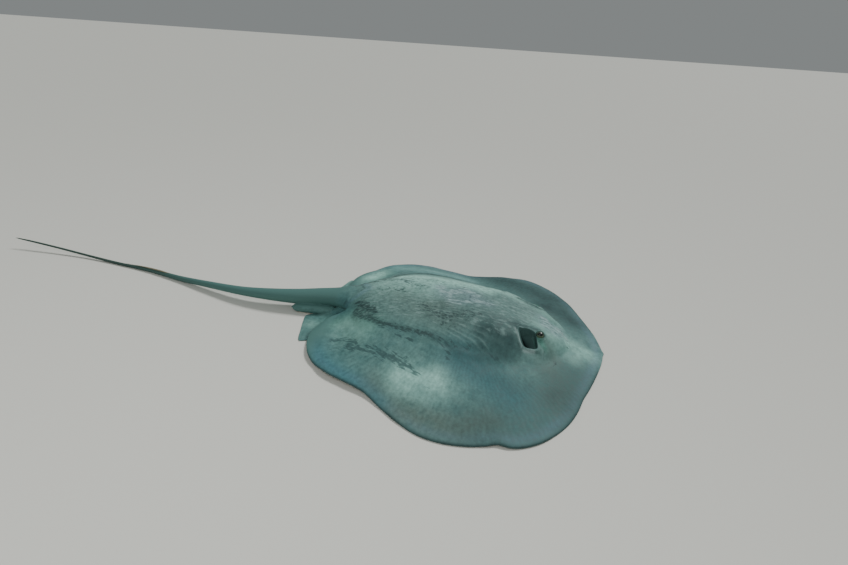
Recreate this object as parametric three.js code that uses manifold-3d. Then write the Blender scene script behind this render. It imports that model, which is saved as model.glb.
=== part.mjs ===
// A whiptail stingray at rest on the sea floor, life size, as a museum would show it.
// Units are millimetres and +Z is up. The head looks towards -Y and the tail runs to +Y.
// The animal's left side is at +X. The origin lies on the floor, under the middle of the belly.
//
// The disc (head, trunk and both pectoral fins) and the tail are shaped whole, joined, and then
// parted by thin cuts. The pelvic fins, claspers, eyes and sting are fitted round them.

import * as THREE from "three";
import { mergeVertices } from "three/addons/utils/BufferGeometryUtils.js";
import Module from "manifold-3d";

const wasm = await Module();
wasm.setup();

// ---------------------------------------------------------------- driving dimensions

const GAP = 0.3; // clearance between neighbouring solids
const SNOUT_TO_ORIGIN = 550; // the snout tip lies this far ahead of the origin
const SNOUT_TO_HUB = 500; // rim radii are measured from this point of the midline
const RIM_THICKNESS = 4; // the fins end in a rounded edge this thick
const WING_THICKNESS = 36; // muscle of the fins between the trunk and the thin margin
const BELLY_LEVEL = 0;

// Rim of the disc: [degrees from the snout, distance from the hub]. The right fin lies spread,
// the left one is drawn in a little at its middle, where a wave runs along it.
const TAIL_RIM = [[169, 549], [172, 512], [174, 472], [180, 430]];
const RIGHT_RIM = [
  [0, 500], [6, 494], [13, 486], [20, 482.5], [27, 484], [34, 491], [41, 511], [48, 531.5],
  [55, 549], [62, 564], [69, 569], [76, 560], [84, 566], [91, 570], [98, 566], [105, 551],
  [113, 534], [122, 527], [130, 552], [138, 588], [146, 613], [154, 617], [160, 606],
  [165, 579], ...TAIL_RIM,
];
const LEFT_RIM = [
  [0, 500], [6, 498], [13, 495], [20, 492], [27, 495], [34, 506], [41, 518.5], [48, 528],
  [55, 537.5], [62, 541.5], [69, 538.5], [76, 513], [84, 483], [91, 462], [98, 452],
  [105, 456], [113, 474], [122, 504], [130, 538], [138, 573], [146, 602], [154, 607],
  [160, 596], [165, 571], ...TAIL_RIM,
];
const SNOUT_POINT = 4; // the small point that ends the snout
const SNOUT_POINT_ANGLE = 1.4;
const NOTCH_ANGLE = 74.5; // a small fold in the right fin's edge
const NOTCH_DEPTH = 5;

// Lifts of the fins' edges off the floor.
const WAVE_LIFT = 31;
const ARCH_LIFT = 15;
const REAR_TIP_LIFT = 9;
const REAR_ROOT_LIFT = 18; // where the rear margin leaves the root of the tail

// Height of the back along the backbone, [distance behind the snout, height].
const BACK_HEIGHT = [
  [-50, 4], [0, 8], [50, 22], [90, 34], [130, 49], [160, 66], [190, 80], [220, 92], [250, 100],
  [285, 108], [350, 122], [420, 133], [500, 140], [600, 144], [700, 143], [780, 139],
  [850, 130], [900, 120], [950, 107], [1000, 92], [1100, 80],
];
// Half width of the raised head and trunk, [distance behind the snout, half width].
const BACK_WIDTH = [
  [-50, 40], [0, 40], [90, 40], [130, 48], [150, 70], [170, 92], [190, 109], [210, 130],
  [230, 150], [250, 164], [300, 180], [350, 200], [420, 214], [500, 230], [600, 255],
  [700, 268], [780, 262], [840, 240], [900, 190], [950, 140], [1000, 90], [1100, 60],
];
// How full the back's section is: 2 is a soft hill, 4 and more has a flat top and steep sides.
const BACK_ROUNDNESS = [
  [0, 3], [200, 4.2], [300, 4.5], [380, 4.2], [470, 3.3], [560, 2.7], [700, 2.4], [850, 2.4],
  [950, 2.6], [1100, 3],
];
// The backbone bends a little to the left, [distance behind the snout, sideways].
const BACKBONE = [
  [0, 0], [100, 2], [200, 10], [300, 16], [400, 18], [600, 18], [750, 14], [880, 5], [960, 0],
  [1100, 0],
];

// Tail: [distance behind the snout, sideways, height of the middle, half width, half height].
const TAIL = [
  [850, 12, 64, 150, 63],
  [890, 12, 64, 136, 60],
  [930, 12, 62, 116, 56],
  [970, 11, 60, 88, 49],
  [1005, 6, 57.5, 65, 43],
  [1045, -3, 55.5, 48, 38],
  [1110, -16, 52.5, 40, 35],
  [1200, -36, 49.5, 33, 30],
  [1310, -52, 47, 26, 24],
  [1440, -54, 40, 19, 18],
  [1600, -32, 27, 14.5, 14],
  [1770, -3, 12.5, 11, 11.5],
  [1945, 26, 8.5, 8.8, 9],
  [2110, 38, 6, 6.6, 6.6],
  [2290, 50, 12, 5.2, 5.2],
  [2460, 52, 26, 4.6, 4.6],
  [2600, 48, 39, 4, 4],
  [2680, 44, 46, 2.2, 2.2],
];

// Eyes and spiracles, given for the left side; `side` counts from the backbone.
const EYE = { behind: 248, side: 98.5, height: 94.5, radius: 16.5 };
const EYE_BULGE = { side: 84, height: 7, reach: 27 };
const BROW = { behind: 292, side: 102, height: 9, reach: 19, stretch: 1.9 };
const LEFT_EYE_DROP = 16; // the left eye is drawn in
const LEFT_SWELLING = 0.25; // so its bulge and brow are almost flat
const SPIRACLE = { behind: 293, side: 132, height: 92, halfLength: 31, halfWidth: 26, depth: 36 };
const SPIRACLE_SLANT = 40; // degrees its mouth leans outwards

// Sting: a flat barbed spine lying on the tail.
const STING = { start: 1835, end: 2075, halfWidth: 4.2, halfHeight: 2.2, freeTipLift: 3 };

// ---------------------------------------------------------------- helpers

// Smooth curve through a table of [place, value] rows, by cubic Hermite steps.
function follow(table, place, column = 1) {
  const last = table.length - 1;
  const at = Math.min(Math.max(place, table[0][0]), table[last][0]);
  let i = 0;
  while (i < last - 1 && at > table[i + 1][0]) i += 1;
  const slope = (k) => {
    const before = table[Math.max(k - 1, 0)];
    const after = table[Math.min(k + 1, last)];
    return (after[column] - before[column]) / (after[0] - before[0]);
  };
  const step = table[i + 1][0] - table[i][0];
  const t = (at - table[i][0]) / step;
  const from = (2 * t ** 3 - 3 * t ** 2 + 1) * table[i][column];
  const to = (-2 * t ** 3 + 3 * t ** 2) * table[i + 1][column];
  const leaving = (t ** 3 - 2 * t ** 2 + t) * step * slope(i);
  const arriving = (t ** 3 - t ** 2) * step * slope(i + 1);
  return from + to + leaving + arriving;
}

const ramp = THREE.MathUtils.smoothstep;

const hump = (value, middle, reach) => Math.exp(-(((value - middle) / reach) ** 2));

// Moves every vertex of a three.js geometry to where the function says.
function reshape(geometry, place) {
  const position = geometry.getAttribute("position");
  const uv = geometry.getAttribute("uv");
  for (let i = 0; i < position.count; i += 1) {
    const from = new THREE.Vector3().fromBufferAttribute(position, i);
    const to = place(from, uv ? new THREE.Vector2().fromBufferAttribute(uv, i) : null);
    position.setXYZ(i, to.x, to.y, to.z);
  }
  return geometry;
}

// A closed mesh becomes a solid that can be joined and cut.
function solid(geometry) {
  geometry.deleteAttribute("normal");
  geometry.deleteAttribute("uv");
  const merged = mergeVertices(geometry, 1e-4);
  return new wasm.Manifold(
    new wasm.Mesh({
      numProp: 3,
      vertProperties: new Float32Array(merged.getAttribute("position").array),
      triVerts: new Uint32Array(merged.index.array),
    }),
  );
}

// And back again, for the scene graph.
function geometryOf(shape) {
  const mesh = shape.getMesh();
  const geometry = new THREE.BufferGeometry();
  geometry.setAttribute("position", new THREE.BufferAttribute(mesh.vertProperties, 3));
  geometry.setIndex(new THREE.BufferAttribute(mesh.triVerts, 1));
  geometry.computeVertexNormals();
  return geometry;
}

// ---------------------------------------------------------------- disc

// Distance from the hub to the rim, at an angle from the snout.
function rimRadius(angle, left) {
  const point = SNOUT_POINT * hump(angle, 0, SNOUT_POINT_ANGLE);
  const fold = left ? 0 : NOTCH_DEPTH * hump(angle, NOTCH_ANGLE, 2.2);
  return follow(left ? LEFT_RIM : RIGHT_RIM, angle) + point - fold;
}

// How far the fins are lifted off the floor: a wave on the left one, a low arch on the right one,
// the fold in its edge, and both rear tips, which lie over the pelvic fins and rise to the tail.
function finLift(behind, side, out, angle, left) {
  const away = Math.abs(side);
  const root = (REAR_ROOT_LIFT - REAR_TIP_LIFT) * (1 - ramp(away, 70, 160));
  const rearTip = (REAR_TIP_LIFT + root) * ramp(behind, 930, 990);
  if (left) {
    const wave = WAVE_LIFT * ramp(behind, 520, 800) * (1 - ramp(behind, 900, 1060));
    return Math.max(wave * ramp(away, 140, 420), rearTip);
  }
  const arch = ARCH_LIFT * ramp(behind, 680, 860) * (1 - ramp(behind, 940, 1050));
  const fold = NOTCH_DEPTH * hump(angle, NOTCH_ANGLE, 4.5) * ramp(out, 0.8, 1);
  return Math.max(arch * ramp(away, 140, 460), rearTip) + fold;
}

// Sideways distance from the backbone.
const fromBackbone = (behind, side) => Math.abs(side - follow(BACKBONE, behind));

// Height of the upper side above the fins' underside.
function thickness(behind, side, out) {
  const away = fromBackbone(behind, side);
  const rise = follow(BACK_HEIGHT, behind) - WING_THICKNESS;
  const roundness = follow(BACK_ROUNDNESS, behind);
  const back = rise * Math.exp(-((away / follow(BACK_WIDTH, behind)) ** roundness));
  const outwards = Math.min(out, 1);
  const wing = WING_THICKNESS * (1 - outwards ** 3.6) ** 0.85;
  const fromEye = Math.hypot(behind - EYE.behind, away - EYE_BULGE.side);
  const bulge = EYE_BULGE.height * hump(fromEye, 0, EYE_BULGE.reach);
  const fromBrow = Math.hypot((behind - BROW.behind) / BROW.stretch, away - BROW.side);
  const brow = BROW.height * hump(fromBrow, 0, BROW.reach);
  const swelling = side > follow(BACKBONE, behind) ? LEFT_SWELLING : 1;
  return RIM_THICKNESS + wing + back * (1 - outwards ** 8) + (bulge + brow) * swelling;
}

// Rings of the disc from the middle of the back out to the rim, and back in below.
const RINGS_ABOVE = [0, 0.16, 0.3, 0.4, 0.48, 0.56, 0.64, 0.72, 0.8, 0.87, 0.93, 0.97, 1];
const RINGS_BELOW = [1, 0.93, 0.82, 0.66, 0.4, 0];
const DISC_COLUMNS = 84;

function disc(grow = 0) {
  const rings = [...RINGS_ABOVE, ...RINGS_BELOW];
  const rows = rings.length - 1;
  const ball = new THREE.SphereGeometry(1, DISC_COLUMNS, rows);
  return reshape(ball, (from, uv) => {
    const row = Math.round((1 - uv.y) * rows);
    const out = rings[row];
    const turn = Math.atan2(from.z, -from.x);
    const left = turn >= 0;
    const angle = THREE.MathUtils.radToDeg(Math.abs(turn));
    const reach = rimRadius(angle, left) * out;
    const behind = SNOUT_TO_HUB - reach * Math.cos(turn);
    const side = reach * Math.sin(turn);
    const lift = finLift(behind, side, out, angle, left);
    const upper = row < RINGS_ABOVE.length;
    const height = upper ? lift + thickness(behind, side, out) + grow : lift - grow;
    const spread = 1 + (grow * out) / SNOUT_TO_HUB;
    return new THREE.Vector3(
      side * spread,
      (behind - SNOUT_TO_HUB) * spread + SNOUT_TO_HUB - SNOUT_TO_ORIGIN,
      BELLY_LEVEL + height,
    );
  });
}

// ---------------------------------------------------------------- tail

const TAIL_SIDES = 10;
const TAIL_STEPS = 48;

function tail(grow = 0) {
  const rod = new THREE.CylinderGeometry(1, 1, 1, TAIL_SIDES, TAIL_STEPS);
  const start = TAIL[0][0];
  const end = TAIL[TAIL.length - 1][0];
  return reshape(rod, (from) => {
    const behind = start + (end - start) * (from.y + 0.5);
    const halfWidth = follow(TAIL, behind, 3) + grow;
    const halfHeight = follow(TAIL, behind, 4) + grow;
    const height = follow(TAIL, behind, 2) + from.z * halfHeight;
    return new THREE.Vector3(
      follow(TAIL, behind, 1) + from.x * halfWidth,
      behind - SNOUT_TO_ORIGIN,
      Math.max(height, BELLY_LEVEL - grow),
    );
  });
}

// ---------------------------------------------------------------- pelvic fins and claspers

// Outlines of the pelvic fins, [sideways, behind the snout]. The left one is drawn in.
const RIGHT_PELVIC = [
  [30, 975], [120, 965], [205, 1010], [246, 1085], [240, 1102], [190, 1118], [130, 1136],
  [90, 1142], [62, 1110], [30, 1070],
];
const LEFT_PELVIC = [
  [30, 975], [120, 960], [196, 996], [234, 1060], [228, 1078], [182, 1090], [130, 1106],
  [90, 1112], [62, 1096], [30, 1060],
];
const PELVIC_THICKNESS = 6.5;
const PELVIC_BEVEL = 2;

function pelvicFin(sign) {
  const corners = sign > 0 ? LEFT_PELVIC : RIGHT_PELVIC;
  const points = corners.map(([side, behind]) => new THREE.Vector2(side, behind));
  const outline = new THREE.CatmullRomCurve3(
    points.map((point) => new THREE.Vector3(point.x, point.y, 0)),
    true,
  );
  const shape = new THREE.Shape(outline.getPoints(36).slice(0, -1));
  const plate = new THREE.ExtrudeGeometry(shape, {
    depth: PELVIC_THICKNESS - 2 * PELVIC_BEVEL,
    bevelEnabled: true,
    bevelSize: PELVIC_BEVEL,
    bevelThickness: PELVIC_BEVEL,
    bevelSegments: 1,
  });
  plate.translate(0, -SNOUT_TO_ORIGIN, BELLY_LEVEL + PELVIC_BEVEL);
  return sign > 0 ? solid(plate) : solid(plate).mirror([1, 0, 0]);
}

// A clasper is a soft finger beside the tail base. [behind the snout, sideways, radius]
// The left one lies closer to the tail.
const CLASPER = [
  [1045, 55.5, 17], [1060, 57, 18.5], [1110, 62, 19.5], [1170, 69, 18.5], [1200, 73, 15.5],
  [1214, 75, 8],
];
const CLASPER_HEIGHT = 19.5;
const CLASPER_SPREAD = { left: 0.7, right: 0.94 };

function clasper(sign, grow = 0) {
  const start = CLASPER[0][0];
  const end = CLASPER[CLASPER.length - 1][0];
  const spread = sign > 0 ? CLASPER_SPREAD.left : CLASPER_SPREAD.right;
  const rod = new THREE.CylinderGeometry(1, 1, 1, 12, 9);
  return reshape(rod, (from) => {
    const behind = start + (end - start) * (from.y + 0.5);
    const radius = follow(CLASPER, behind, 2) + grow;
    return new THREE.Vector3(
      sign * spread * follow(CLASPER, behind, 1) + from.x * radius,
      behind - SNOUT_TO_ORIGIN,
      Math.max(BELLY_LEVEL + CLASPER_HEIGHT + from.z * radius, BELLY_LEVEL - grow),
    );
  });
}

// ---------------------------------------------------------------- eyes, spiracles and sting

// A point of the head, given by a feature's place on the left or the right side.
const headPoint = (feature, sign) =>
  new THREE.Vector3(
    follow(BACKBONE, feature.behind) + sign * feature.side,
    feature.behind - SNOUT_TO_ORIGIN,
    BELLY_LEVEL + feature.height,
  );

function eyeball(sign, grow = 0) {
  const ball = new THREE.SphereGeometry(EYE.radius + grow, 16, 10);
  const place = headPoint(EYE, sign);
  const drop = sign > 0 ? LEFT_EYE_DROP : 0;
  return ball.translate(place.x, place.y, place.z - drop);
}

// A scoop that opens the spiracle behind the eye, leaning outwards and down.
function spiracleScoop(sign) {
  const scoop = new THREE.SphereGeometry(1, 14, 8);
  scoop.scale(SPIRACLE.halfWidth, SPIRACLE.halfLength, SPIRACLE.depth);
  scoop.rotateY(sign * THREE.MathUtils.degToRad(SPIRACLE_SLANT));
  const place = headPoint(SPIRACLE, sign);
  return scoop.translate(place.x, place.y, place.z);
}

function sting(grow = 0) {
  const blade = new THREE.CylinderGeometry(1, 1, 1, 8, 10);
  const { start, end, halfWidth, halfHeight, freeTipLift } = STING;
  return reshape(blade, (from) => {
    const along = from.y + 0.5;
    const behind = start + (end - start) * along;
    const slim = Math.max(1 - along ** 2.4, 0.12);
    const top = follow(TAIL, behind, 2) + follow(TAIL, behind, 4);
    return new THREE.Vector3(
      follow(TAIL, behind, 1) + from.x * (halfWidth * slim + grow),
      behind - SNOUT_TO_ORIGIN,
      top + freeTipLift * along + from.z * (halfHeight * slim + grow),
    );
  });
}

// ---------------------------------------------------------------- joining and parting

// A tall block over a plan outline of [sideways, behind the snout] corners.
function block(corners) {
  const shape = new THREE.Shape(corners.map(([side, behind]) => new THREE.Vector2(side, behind)));
  const tall = new THREE.ExtrudeGeometry(shape, { depth: 400, bevelEnabled: false });
  return solid(tall.translate(0, -SNOUT_TO_ORIGIN, -100));
}

// Half width of the head and trunk where the pectoral fins are parted from them.
const FIN_ROOT = [
  [-40, 46], [60, 58], [160, 92], [260, 150], [360, 196], [480, 222], [620, 230], [760, 222],
  [860, 190], [940, 132], [1000, 86], [1040, 68], [1150, 62],
];
const FRONT = -40;
const REAR = 1150;
const WIDE = 700;
const ROOT_STEP = 40;

// The fin root's line on one side, shifted sideways by half a gap.
function rootLine(sign, shift) {
  const steps = Math.round((REAR - FRONT) / ROOT_STEP);
  return Array.from({ length: steps + 1 }, (_, i) => {
    const behind = FRONT + ((REAR - FRONT) * i) / steps;
    return [sign * (follow(FIN_ROOT, behind) + shift), behind];
  });
}

const midBlock = () => block([...rootLine(1, -GAP / 2), ...rootLine(-1, -GAP / 2).reverse()]);

const finBlock = (sign) =>
  block([...rootLine(sign, GAP / 2), [sign * WIDE, REAR], [sign * WIDE, FRONT]]);

const band = (from, to) => block([[-WIDE, from], [WIDE, from], [WIDE, to], [-WIDE, to]]);

let body = solid(disc()).add(solid(tail()));
for (const sign of [1, -1]) {
  body = body.subtract(solid(eyeball(sign, GAP)));
  body = body.subtract(solid(spiracleScoop(sign)));
}
body = body.subtract(solid(sting(GAP)));

const grownBody = solid(disc(GAP)).add(solid(tail(GAP)));

// ---------------------------------------------------------------- scene graph

const finish = (color, roughness) =>
  new THREE.MeshStandardMaterial({ color, roughness, metalness: 0 });
const skin = finish("#5f7776", 0.55);
const darkSkin = finish("#465a5a", 0.6);
const horn = finish("#b8ad93", 0.45);
const eyeGloss = finish("#20261f", 0.12);

// The lengths between the fins: each ends this far behind the snout.
const LENGTHS = [
  { name: "head", to: 370, material: skin },
  { name: "trunk", to: 1030, material: skin },
  { name: "tail_base", to: 1400, material: skin },
  { name: "tail_middle", to: 1850, material: skin },
  { name: "tail_whip", to: 2270, material: darkSkin },
  { name: "tail_tip", to: 2720, material: darkSkin },
];

const stingray = new THREE.Group();

function addPart(name, geometry, material) {
  const mesh = new THREE.Mesh(geometry, material);
  mesh.name = name;
  stingray.add(mesh);
}

// Everything between the fins, from the snout to the tip of the tail, in its lengths.
const midLine = body.intersect(midBlock().add(band(REAR - GAP, LENGTHS[LENGTHS.length - 1].to)));
let from = FRONT;
for (const { name, to, material } of LENGTHS) {
  const piece = midLine.intersect(band(from + GAP / 2, to - GAP / 2));
  addPart(name, geometryOf(piece), material);
  from = to;
}

for (const [side, sign] of [["left", 1], ["right", -1]]) {
  const pelvic = pelvicFin(sign).subtract(grownBody).subtract(solid(clasper(sign, GAP)));
  addPart(`pectoral_fin_${side}`, geometryOf(body.intersect(finBlock(sign))), skin);
  addPart(`pelvic_fin_${side}`, geometryOf(pelvic), skin);
  addPart(`clasper_${side}`, geometryOf(solid(clasper(sign)).subtract(grownBody)), darkSkin);
  addPart(`eye_${side}`, eyeball(sign), eyeGloss);
}

addPart("sting", sting(), horn);

export default stingray;
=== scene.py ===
# %% [markdown]
# # A whiptail stingray at rest
# We dress a packed stingray model as a museum would finish a life-size cast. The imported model
# is the fixed frame: it says where the head, fins and tail are and how large they may be. Here
# one continuous skin is drawn over the fleshy solids, so that no seam shows, and the eyes and
# the sting become pieces of their own.

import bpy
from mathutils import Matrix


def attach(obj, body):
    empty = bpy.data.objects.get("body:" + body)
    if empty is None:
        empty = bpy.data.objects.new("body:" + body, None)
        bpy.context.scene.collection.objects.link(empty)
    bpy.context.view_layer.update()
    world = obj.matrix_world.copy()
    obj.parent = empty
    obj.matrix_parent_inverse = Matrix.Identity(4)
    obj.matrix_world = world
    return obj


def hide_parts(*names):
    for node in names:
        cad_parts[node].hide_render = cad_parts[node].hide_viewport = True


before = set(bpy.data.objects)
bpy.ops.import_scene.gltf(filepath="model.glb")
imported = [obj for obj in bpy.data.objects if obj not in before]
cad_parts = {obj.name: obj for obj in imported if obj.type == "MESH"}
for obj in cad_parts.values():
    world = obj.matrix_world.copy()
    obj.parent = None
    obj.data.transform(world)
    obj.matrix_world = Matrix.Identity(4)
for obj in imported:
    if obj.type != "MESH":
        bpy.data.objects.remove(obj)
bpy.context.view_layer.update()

from math import cos, pi, radians, sin

import bmesh
import bpy
import numpy as np
from mathutils import Euler, Quaternion, Vector
from mathutils.kdtree import KDTree

print("solids in the frame:", sorted(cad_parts))

# %% [markdown]
# ## Camera
# The camera looks down on the animal from beside its right wing, 1 m above the floor. A short
# lens, 19 mm on a full-frame sensor, takes in the whole 2.7 m from snout to tail tip. The
# camera leans a few degrees, as a hand-held one does. Its place is counted from the floor
# under the belly, where the frame has its origin.

# %% Place the camera
CAMERA_PLACE = Vector((-1.4452, -0.127, 1.0))
CAMERA_HEADING = radians(-79.38)
CAMERA_DOWN = radians(29.0)
CAMERA_LEAN = radians(4.0)
LENS_MM = 18.89
SENSOR_MM = 36.0
HORIZON = 60  # metres from the camera to where the floor ends

camera_data = bpy.data.cameras.new("camera")
camera_data.lens = LENS_MM
camera_data.sensor_width = SENSOR_MM
camera = bpy.data.objects.new("camera", camera_data)
bpy.context.scene.collection.objects.link(camera)
camera.location = CAMERA_PLACE
camera.rotation_mode = "QUATERNION"
level_turn = Euler((pi / 2 - CAMERA_DOWN, 0, CAMERA_HEADING)).to_quaternion()
camera.rotation_quaternion = level_turn @ Quaternion((0, 0, 1), CAMERA_LEAN)
camera_data.clip_end = HORIZON
bpy.context.scene.camera = camera
print("camera looks", CAMERA_HEADING, "from", tuple(CAMERA_PLACE))

# %% [markdown]
# ## Tables of the body's form
# A ray is measured from its snout: every place has a distance `behind` the snout tip and a
# `side` distance from the midline, left being positive. The same few tables that shaped the
# solids are repeated here in millimetres, and `follow` reads metres off a smooth curve through
# each of them. Working from tables keeps the skin and the solids in step.

# %% Tables and the curve through them
SNOUT_TO_ORIGIN = 0.550
SNOUT_TO_HUB = 0.500
RIM_THICKNESS = 0.004
WING_THICKNESS = 0.036
MM = 0.001

TAIL_RIM = [(169, 549), (172, 512), (174, 472), (180, 430)]
RIGHT_RIM = [
    (0, 500), (6, 494), (13, 486), (20, 482.5), (27, 484), (34, 491), (41, 511), (48, 531.5),
    (55, 549), (62, 564), (69, 569), (76, 560), (84, 566), (91, 570), (98, 566), (105, 551),
    (113, 534), (122, 527), (130, 552), (138, 588), (146, 613), (154, 617), (160, 606), (165, 579),
] + TAIL_RIM
LEFT_RIM = [
    (0, 500), (6, 498), (13, 495), (20, 492), (27, 495), (34, 506), (41, 518.5), (48, 528),
    (55, 537.5), (62, 541.5), (69, 538.5), (76, 513), (84, 483), (91, 462), (98, 452), (105, 456),
    (113, 474), (122, 504), (130, 538), (138, 573), (146, 602), (154, 607), (160, 596), (165, 571),
] + TAIL_RIM
BACK_HEIGHT = [
    (-50, 4), (0, 8), (50, 22), (90, 34), (130, 49), (160, 66), (190, 80), (220, 92),
    (250, 100), (285, 108), (350, 122), (420, 133), (500, 140), (600, 144), (700, 143),
    (780, 139), (850, 130), (900, 120), (950, 107), (1000, 92), (1100, 80),
]
BACK_WIDTH = [
    (-50, 40), (0, 40), (90, 40), (130, 48), (150, 70), (170, 92), (190, 109), (210, 130),
    (230, 150), (250, 164), (300, 180), (350, 200), (420, 214), (500, 230), (600, 255),
    (700, 268), (780, 262), (840, 240), (900, 190), (950, 140), (1000, 90), (1100, 60),
]
BACK_ROUNDNESS = [
    (0, 3), (200, 4.2), (300, 4.5), (380, 4.2), (470, 3.3), (560, 2.7), (700, 2.4), (850, 2.4),
    (950, 2.6), (1100, 3),
]
BACKBONE = [
    (0, 0), (100, 2), (200, 10), (300, 16), (400, 18), (600, 18), (750, 14), (880, 5), (960, 0),
    (1100, 0),
]
TAIL = [
    (740, 14, 66, 180, 72), (800, 13, 65, 168, 69), (850, 12, 64, 152, 64), (890, 12, 64, 136, 60),
    (930, 12, 62, 116, 56), (970, 11, 60, 88, 49), (1005, 6, 57.5, 65, 43),
    (1045, -3, 55.5, 48, 38), (1110, -16, 52.5, 40, 35),
    (1200, -36, 49.5, 33, 30), (1310, -52, 47, 26, 24),
    (1440, -54, 40, 19, 18), (1600, -32, 27, 14.5, 14), (1770, -3, 12.5, 11, 11.5),
    (1945, 26, 8.5, 8.8, 9), (2110, 38, 6, 6.6, 6.6), (2290, 50, 12, 5.2, 5.2),
    (2460, 52, 26, 4.6, 4.6), (2600, 48, 39, 4, 4), (2680, 44, 46, 2.2, 2.2),
]


def follow(table, place, column=1, unit=MM):
    """Smooth curve through one column of a table; places are in the unit of its first column."""
    rows = np.array([(row[0], row[column]) for row in table], float)
    at, value = rows[:, 0], rows[:, 1]
    slope = np.gradient(value, at)
    slope[1:-1] = (value[2:] - value[:-2]) / (at[2:] - at[:-2])
    place = np.clip(place, at[0], at[-1])
    i = np.clip(np.searchsorted(at, place, side="right") - 1, 0, len(at) - 2)
    step = at[i + 1] - at[i]
    t = (place - at[i]) / step
    near = (2 * t**3 - 3 * t**2 + 1) * value[i] + (t**3 - 2 * t**2 + t) * step * slope[i]
    far = (3 * t**2 - 2 * t**3) * value[i + 1] + (t**3 - t**2) * step * slope[i + 1]
    return (near + far) * unit


def ramp(value, start, end):
    """0 before start, 1 after end, and a smooth climb between."""
    t = np.clip((value - start) / (end - start), 0, 1)
    return t * t * (3 - 2 * t)


def hump(value, middle, reach):
    """1 at the middle, fading away on both sides; at twice the reach next to nothing is left."""
    return np.exp(-(((value - middle) / reach) ** 2))


print("disc reaches", follow(RIGHT_RIM, 91.0), "m to the right of its hub")

# %% [markdown]
# ## The disc's own formulas
# Head, trunk and pectoral fins make one flat disc. Its rim is given as a distance from a hub in
# the middle of the back, for each angle from the snout. Thickness is the sum of the muscle of
# the fins, which thins towards the rim, and of the raised back. A lift says how far a fin is
# off the floor. These are the formulas of the solids, so the skin keeps to their surface.

# %% Rim, lift and thickness of the disc
SNOUT_POINT = (0.004, 1.4)  # height and half angle of the small point that ends the snout
NOTCH = (0.005, 74.5, 2.0)  # depth, angle and half angle of the fold in the right fin's edge
REAR_TIP_LIFT = 0.009
REAR_ROOT_LIFT = 0.018  # the rear margin leaves the tail's root at this height
EYE_BULGE = {"behind": 0.248, "side": 0.084, "height": 0.007, "reach": 0.027}
BROW = {"behind": 0.292, "side": 0.102, "height": 0.009, "reach": 0.019, "stretch": 1.9}
LEFT_EYE_DROP = 0.016  # the left eye is drawn in by this much
LEFT_SWELLING = 0.25  # so its bulge and brow keep only this part of their height


def rim_radius(angle, left):
    """Distance from hub to rim; angle in degrees from the snout, left is a true/false array."""
    rim = np.where(left, follow(LEFT_RIM, angle), follow(RIGHT_RIM, angle))
    fold = np.where(left, 0, NOTCH[0] * hump(angle, NOTCH[1], NOTCH[2]))
    return rim + SNOUT_POINT[0] * hump(angle, 0, SNOUT_POINT[1]) - fold


def fin_lift(behind, side, out, angle):
    away, left = np.abs(side), side >= 0
    root = (REAR_ROOT_LIFT - REAR_TIP_LIFT) * (1 - ramp(away, 0.07, 0.16))
    rear_tip = (REAR_TIP_LIFT + root) * ramp(behind, 0.93, 0.99)
    wave = 0.031 * ramp(behind, 0.52, 0.8) * (1 - ramp(behind, 0.9, 1.06)) * ramp(away, 0.14, 0.42)
    arch = 0.015 * ramp(behind, 0.68, 0.86) * (1 - ramp(behind, 0.94, 1.05)) * ramp(away, 0.14, 0.46)
    fold = np.where(left, 0, 0.005 * hump(angle, NOTCH[1], 4.5) * ramp(out, 0.8, 1))
    return np.maximum(np.where(left, wave, arch), rear_tip) + fold


def from_backbone(behind, side):
    """Sideways distance from the backbone, which curves a little to the left."""
    return side - follow(BACKBONE, behind / MM)


def thickness(behind, side, out):
    off = from_backbone(behind, side)
    away = np.abs(off)
    rise = follow(BACK_HEIGHT, behind / MM) - WING_THICKNESS
    roundness = follow(BACK_ROUNDNESS, behind / MM, unit=1)
    back = rise * np.exp(-((away / follow(BACK_WIDTH, behind / MM)) ** roundness))
    out = np.minimum(out, 1)
    wing = WING_THICKNESS * (1 - out**3.6) ** 0.85
    from_eye = np.hypot(behind - EYE_BULGE["behind"], away - EYE_BULGE["side"])
    bulge = EYE_BULGE["height"] * hump(from_eye, 0, EYE_BULGE["reach"])
    from_brow = np.hypot((behind - BROW["behind"]) / BROW["stretch"], away - BROW["side"])
    brow = BROW["height"] * hump(from_brow, 0, BROW["reach"])
    return RIM_THICKNESS + wing + back * (1 - out**8) + (bulge + brow) * np.where(off > 0, LEFT_SWELLING, 1)


middle_of_back = thickness(np.array(0.65), np.array(0.0), np.array(0.3))
print("the back stands", round(float(middle_of_back), 4), "m high at its middle")

# %% [markdown]
# ## A flat two-sided sheet
# The disc and the pelvic fins are thin bodies with an upper and a lower side that meet in a
# rounded edge. A sculpted or subdivided box would need many corrections to keep such an edge
# thin. Instead a flat polar net is drawn first, with its upper and its lower side both in plan
# and a mark that says which is which. The net can be made finer wherever a detail needs it,
# and only then is each point lifted to its height. Rings crowd together next to the rim, so
# that the edge comes out round.

# %% Flat polar net with two sides
EDGE_STEPS = [0.012, 0.008, 0.005, 0.0032, 0.002, 0.0012, 0.0006, 0.0002, 0]
UPPER, LOWER = 1.0, -1.0


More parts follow.
